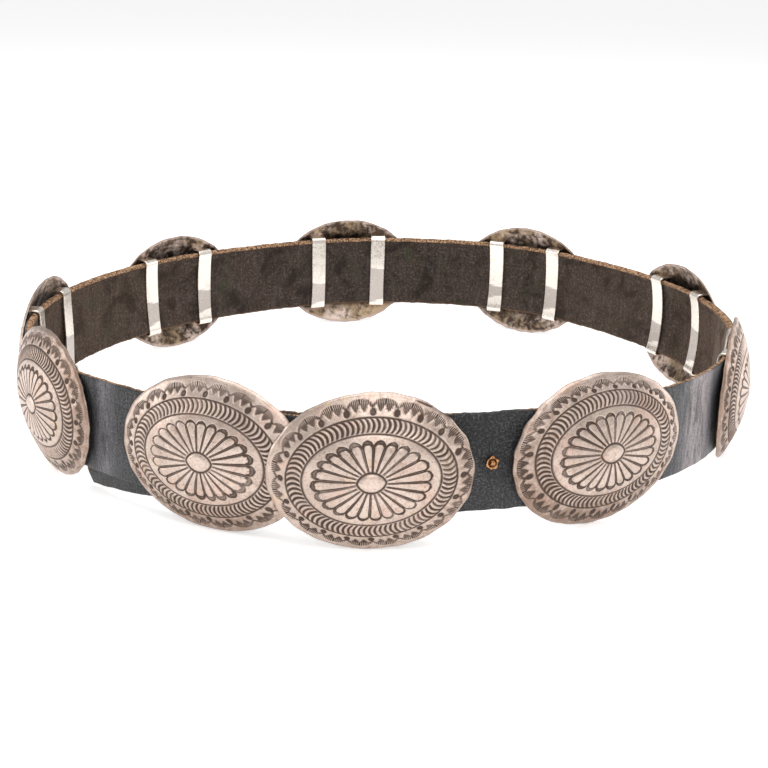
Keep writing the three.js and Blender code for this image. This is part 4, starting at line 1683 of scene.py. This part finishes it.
@dataclass
class Strap:
    """The one leather strap, its tongue inside and its buckle end outside.

    sheens are painted sheen on its grain side and flesh_lights painted light on its flesh side. inked is
    where the dye on its cut edge begins, is full, starts to fade and ends, in mm along it.
    """

    plan: BeltPlan
    blank: RodBlank = field(default_factory=lambda: RodBlank(around=32, stations=620))
    # Painted sheen: a bright band in the gap before concho_2, and a highlight past concho_8.
    sheens: tuple[LightSpot, ...] = (
        LightSpot("concho_2", -51.0, 13.0, 1.0),
        LightSpot("concho_8", 42.5, 6.0, 0.50),
    )
    # Painted light on the flesh side past concho_2.
    flesh_lights: tuple[LightSpot, ...] = (LightSpot("concho_2", 42.0, 14.0, 0.6),)
    inked: tuple[float, float, float, float] = (25.0, 33.0, 50.0, 62.0)
    inset: float = 0.12
    ripple: float = 0.06
    seed: int = 5

    def section(self) -> np.ndarray:
        """Lays out the strap's section.

        Returns:
            Rows of: distance out (0 at the grain face), share of the height it is held to,
            height beyond that share, raw mark, and flesh mark.
        """
        plan = self.plan
        thick = plan.strap_thickness
        shares = np.linspace(-1.0, 1.0, 9)
        grain = [(0.0, share, -share * plan.grain_rounding, 0.0, 0.0) for share in shares]
        upper = [
            (-0.16, 1.0, -0.20, 0.1, 0.0),
            (-plan.grain_rounding, 1.0, 0.0, 0.45, 0.0),
            (-1.1, 1.0, 0.02, 1.0, 0.2),
            (-1.6, 1.0, 0.0, 1.0, 0.6),
            (plan.flesh_bevel_depth - thick, 1.0, -0.05, 1.0, 1.0),
            (-thick + 0.35, 1.0, -0.75, 1.0, 1.0),
            (-thick + 0.03, 1.0, -plan.flesh_bevel_height, 0.62, 1.0),
        ]
        narrowed = plan.flesh_bevel_height + 0.9
        inner = [(-thick, share, -share * narrowed, 0.0, 1.0) for share in shares[::-1]]
        lower = [(out, -1.0, -rest, 0.5 * raw, flesh) for out, _, rest, raw, flesh in upper[::-1]]
        return np.array(grain + upper + inner + lower)

    def sheen_at(self, along: np.ndarray, height: np.ndarray, flesh: np.ndarray) -> np.ndarray:
        """How strongly painted sheen and painted light lie on the strap.

        Args:
            along: lengths in mm.
            height: heights over the strap's middle, in mm.
            flesh: 1 on the flesh side and 0 on the grain side.

        Returns:
            Shares from 0 to 1.
        """
        # A faint grey towards the bottom of the grain side, painted sheen spots on the grain side, and
        # painted light spots on the flesh side.
        sides = []
        for marks, spots in (
            (0.06 * smooth(2.0, -14.0, height), self.sheens),
            (np.zeros_like(height), self.flesh_lights),
        ):
            for spot in spots:
                middle = self.plan.stations[spot.near] + spot.past
                marks = np.maximum(marks, spot.grey * bell(along - middle, spot.width))
            sides.append(marks)
        return np.where(flesh > 0.5, sides[1], sides[0])

    def build(self, look: bpy.types.Material) -> bpy.types.Object:
        """Builds the strap.

        Args:
            look: its finish.

        Returns:
            The strap's object.
        """
        plan = self.plan
        piece = self.blank.model()
        piece.name = "belt_strap"
        piece.data.name = piece.name
        corner, share, radius = self.blank.read(piece)
        draw = np.random.default_rng(self.seed)
        top, bottom, wave = Wander(draw, 8, 150), Wander(draw, 8, 150), Wander(draw, 20, 90)
        fray_top, fray_bottom = Wander(draw, 150, 420), Wander(draw, 150, 420)
        along = -plan.tongue_reach + share * (plan.length + plan.end_reach + plan.tongue_reach)
        out, hold, rest, raw, flesh = self.section()[corner].T
        from_tip = along + plan.tongue_reach
        clip = plan.tip_clip_height * (1.0 - np.minimum(1.0, from_tip / plan.tip_clip_length))
        droop_span = plan.tongue_reach - plan.strip_reach
        droop = plan.tongue_droop * np.maximum(0.0, 1.0 - from_tip / droop_span) ** 1.1
        half = plan.strap_width / 2 - clip
        height = hold * half + rest
        above = hold > 0
        hand = np.where(above, top.at(share), bottom.at(share))
        fray = np.where(above, fray_top.at(share), fray_bottom.at(share))
        edge = smooth(0.9, 1.0, np.abs(hold))
        height -= np.sign(hold) * edge * (0.18 + 0.16 * np.clip(hand, -1, 1) + 0.18 * raw * fray)
        depth = out - self.inset + self.ripple * wave.at(share) * (1.0 - edge)
        inner = radius < 0.99
        middle = -plan.strap_thickness / 2
        depth = np.where(inner, middle + (depth - middle) * 0.6, depth)
        height = np.where(inner, height * 0.97, height)
        depth += plan.cup(along) * np.maximum(0.0, 1.0 - (2.0 * height / plan.strap_width) ** 2)
        flat = plan.face(along, depth)
        place = np.column_stack([flat, height - droop + plan.middle_height])
        put_points(piece, place * MM)
        put_marks(piece, "along", along * MM)
        to_end = plan.length + plan.end_reach - along
        at_end = np.clip(smooth(0.6, 0.0, from_tip) + smooth(0.6, 0.0, to_end), 0, 1)
        put_marks(piece, "raw", np.maximum(raw, at_end))
        put_marks(piece, "flesh", flesh)
        begins, full, fades, ends = self.inked
        inked = smooth(begins, full, along) * smooth(ends, fades, along)
        put_marks(piece, "inked", inked * 0.9)
        put_marks(piece, "scuff_and_sheen", self.sheen_at(along, height, flesh))
        dress(piece, look)
        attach(piece, "root")
        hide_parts("strap")
        log.info("strap: %d faces", len(piece.data.polygons))
        return piece


@dataclass
class TurnedPiece:
    """A round piece turned from a profile of radius and height."""

    name: str
    profile: tuple[tuple[float, float], ...]
    sides: int = 40

    def model(self) -> tuple[bpy.types.Object, np.ndarray, np.ndarray]:
        """Models the piece about Z, in mm.

        Returns:
            The object, the turn of each vertex, and its points.
        """
        clear_selection()
        bpy.ops.mesh.primitive_circle_add(vertices=self.sides, radius=1.0)
        piece = bpy.context.object
        piece.name = self.name
        piece.data.name = self.name
        bpy.ops.object.mode_set(mode="EDIT")
        bpy.ops.mesh.select_all(action="SELECT")
        radius, height = self.profile[0]
        bpy.ops.transform.resize(value=(radius, radius, 1.0))
        bpy.ops.transform.translate(value=(0.0, 0.0, height))
        bpy.ops.mesh.edge_face_add()
        for reach, level in self.profile[1:]:
            bpy.ops.mesh.extrude_region_move(
                TRANSFORM_OT_translate={"value": (0.0, 0.0, level - height)}
            )
            grow = reach / radius
            bpy.ops.transform.resize(value=(grow, grow, 1.0))
            radius, height = reach, level
        bpy.ops.object.mode_set(mode="OBJECT")
        points = points_of(piece)
        turn = np.mod(np.arctan2(points[:, 1], points[:, 0]) / TURN, 1.0)
        return piece, turn, points


@dataclass
class Fastenings:
    """The brass rivet, and the post behind the buckle concho."""

    plan: BeltPlan
    seed: int = 12

    def rivet(self, look: bpy.types.Material) -> bpy.types.Object:
        """Builds the rivet: a beaten ring, a dome in it, a shank and a head inside.

        Args:
            look: its finish.

        Returns:
            The rivet's object.
        """
        back = -self.plan.strap_thickness - 0.25
        profile = (
            (0.5, back - 0.95), (1.9, back - 0.9), (2.7, back - 0.6), (3.1, back - 0.05),
            (1.1, back), (1.1, 0.12), (2.15, 0.15), (2.45, 0.35), (2.5, 0.75), (2.3, 1.05),
            (1.95, 1.1), (1.62, 0.95), (1.42, 0.55), (1.32, 0.5), (1.27, 0.9), (1.12, 1.3),
            (0.8, 1.62), (0.4, 1.78), (0.08, 1.8),
        )
        piece, turn, points = TurnedPiece("brass_rivet", profile).model()
        beaten = Wander(np.random.default_rng(self.seed), 2, 6)
        out = np.hypot(points[:, 0], points[:, 1])
        ring = smooth(1.45, 2.1, out) * (points[:, 2] > 0.0)
        points[:, :2] *= (1.0 + 0.10 * ring * beaten.at(turn))[:, None]
        points[:, 2] += 0.18 * ring * beaten.at(turn + 0.4) * (points[:, 2] > 0.3)
        seat = self.plan.strap_seat(self.plan.rivet_along, self.plan.lap_step)
        put_points(piece, to_world(points, seat))
        put_marks(piece, "oxide", bell(out - 1.42, 0.16) * (points[:, 2] > 0.2))
        dress(piece, look)
        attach(piece, "root")
        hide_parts("rivet")
        log.info("rivet: %d faces", len(piece.data.polygons))
        return piece

    def post(self, seat: Matrix, look: bpy.types.Material) -> bpy.types.Object:
        """Builds the plain post and its round head behind the buckle concho.

        Args:
            seat: the buckle concho's axes.
            look: its finish.

        Returns:
            The post's object.
        """
        plan = self.plan
        inner = plan.face(np.array([0.0]), 0.0)[0]
        out = (seat.inverted() @ Vector((*inner, plan.middle_height))).z
        head = out - plan.strap_thickness - plan.layer_gap
        profile = (
            (1.2, head - 1.2), (3.4, head - 1.1), (4.3, head - 0.8), (4.6, head - 0.4),
            (4.5, head - 0.05), (4.2, head), (2.5, head), (2.5, plan.hollow_height + 0.4),
            (0.3, plan.hollow_height + 0.5),
        )
        piece, _, points = TurnedPiece("buckle_post", profile).model()
        put_points(piece, to_world(points, seat))
        dress(piece, look)
        bpy.ops.object.shade_smooth_by_angle(angle=CREASE)
        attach(piece, "root")
        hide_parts("buckle_concho")
        log.info("post: %d faces", len(piece.data.polygons))
        return piece


@dataclass(frozen=True)
class Studio:
    """The floor, soft lights and the camera at the photograph's angle."""

    eye: tuple[float, float, float] = (-0.0056, -0.5842, 0.2035)
    pitch: float = 18.12
    yaw: float = -0.78
    roll: float = 1.12
    lens: float = 61.79
    sensor: float = 36.0
    near: float = 0.01
    floor_width: float = 40.0
    room_light: float = 0.58

    def floor(self) -> None:
        """Lays the floor."""
        clear_selection()
        bpy.ops.mesh.primitive_plane_add(size=self.floor_width)
        floor = bpy.context.object
        floor.name = "studio_floor"
        floor.data.materials.append(PaleFloor().material())

    def light(self, name: str, place: Vector, power: float, size: float) -> None:
        """Hangs one soft light that faces the belt.

        Args:
            name: its name.
            place: where it hangs.
            power: watts.
            size: width in metres.
        """
        lamp = bpy.data.lights.new(name, "AREA")
        lamp.energy = power
        lamp.size = size
        holder = bpy.data.objects.new(name, lamp)
        holder.location = place
        holder.rotation_euler = (Vector((0.0, 0.0, 0.03)) - place).to_track_quat("-Z", "Y").to_euler()
        bpy.context.scene.collection.objects.link(holder)

    def camera(self) -> None:
        """Sets up the camera."""
        data = bpy.data.cameras.new("photo_view")
        data.lens = self.lens
        data.sensor_width = self.sensor
        data.clip_start = self.near
        holder = bpy.data.objects.new("photo_view", data)
        pitch, roll = math.radians(self.pitch), math.radians(self.roll)
        yaw = math.radians(self.yaw)
        side = Vector((math.cos(yaw), math.sin(yaw), 0.0))
        ahead = UP.cross(side) * math.cos(pitch) - UP * math.sin(pitch)
        over = side.cross(ahead)
        right = side * math.cos(roll) + over * math.sin(roll)
        top = over * math.cos(roll) - side * math.sin(roll)
        axes = Matrix((right, top, -ahead)).transposed().to_4x4()
        axes.translation = Vector(self.eye)
        holder.matrix_world = axes
        bpy.context.scene.collection.objects.link(holder)
        bpy.context.scene.camera = holder

    def build(self) -> None:
        """Builds the studio."""
        self.floor()
        self.light("overhead_softbox", Vector((0.0, -0.2, 1.4)), 15.0, 1.6)
        self.light("front_softbox", Vector((0.1, -1.6, 1.0)), 9.0, 1.2)
        self.light("left_softbox", Vector((-1.5, -0.05, 0.35)), 5.0, 0.8)
        self.light("right_softbox", Vector((1.5, 0.45, 0.35)), 6.0, 0.9)
        world = bpy.data.worlds.new("white_room")
        world.use_nodes = True
        backdrop = world.node_tree.nodes["Background"]
        backdrop.inputs["Color"].default_value = (1.0, 1.0, 1.0, 1.0)
        backdrop.inputs["Strength"].default_value = self.room_light
        bpy.context.scene.world = world
        bpy.context.scene.view_settings.view_transform = "Standard"
        self.camera()


def main() -> None:
    """Builds the belt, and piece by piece."""
    logging.basicConfig(level=logging.INFO, format="%(name)s %(message)s")
    plan = BeltPlan()
    silver = StampedSilver().material()
    strip_silver = BrightStrip().material()
    conchos = Conchos(plan)
    conchos.build(silver, strip_silver)
    Strap(plan).build(StrapLeather().material())
    fastenings = Fastenings(plan)
    fastenings.rivet(RivetBrass().material())
    fastenings.post(conchos.seats[plan.buckle], strip_silver)
    Studio().build()


if __name__ == "__main__":
    main()
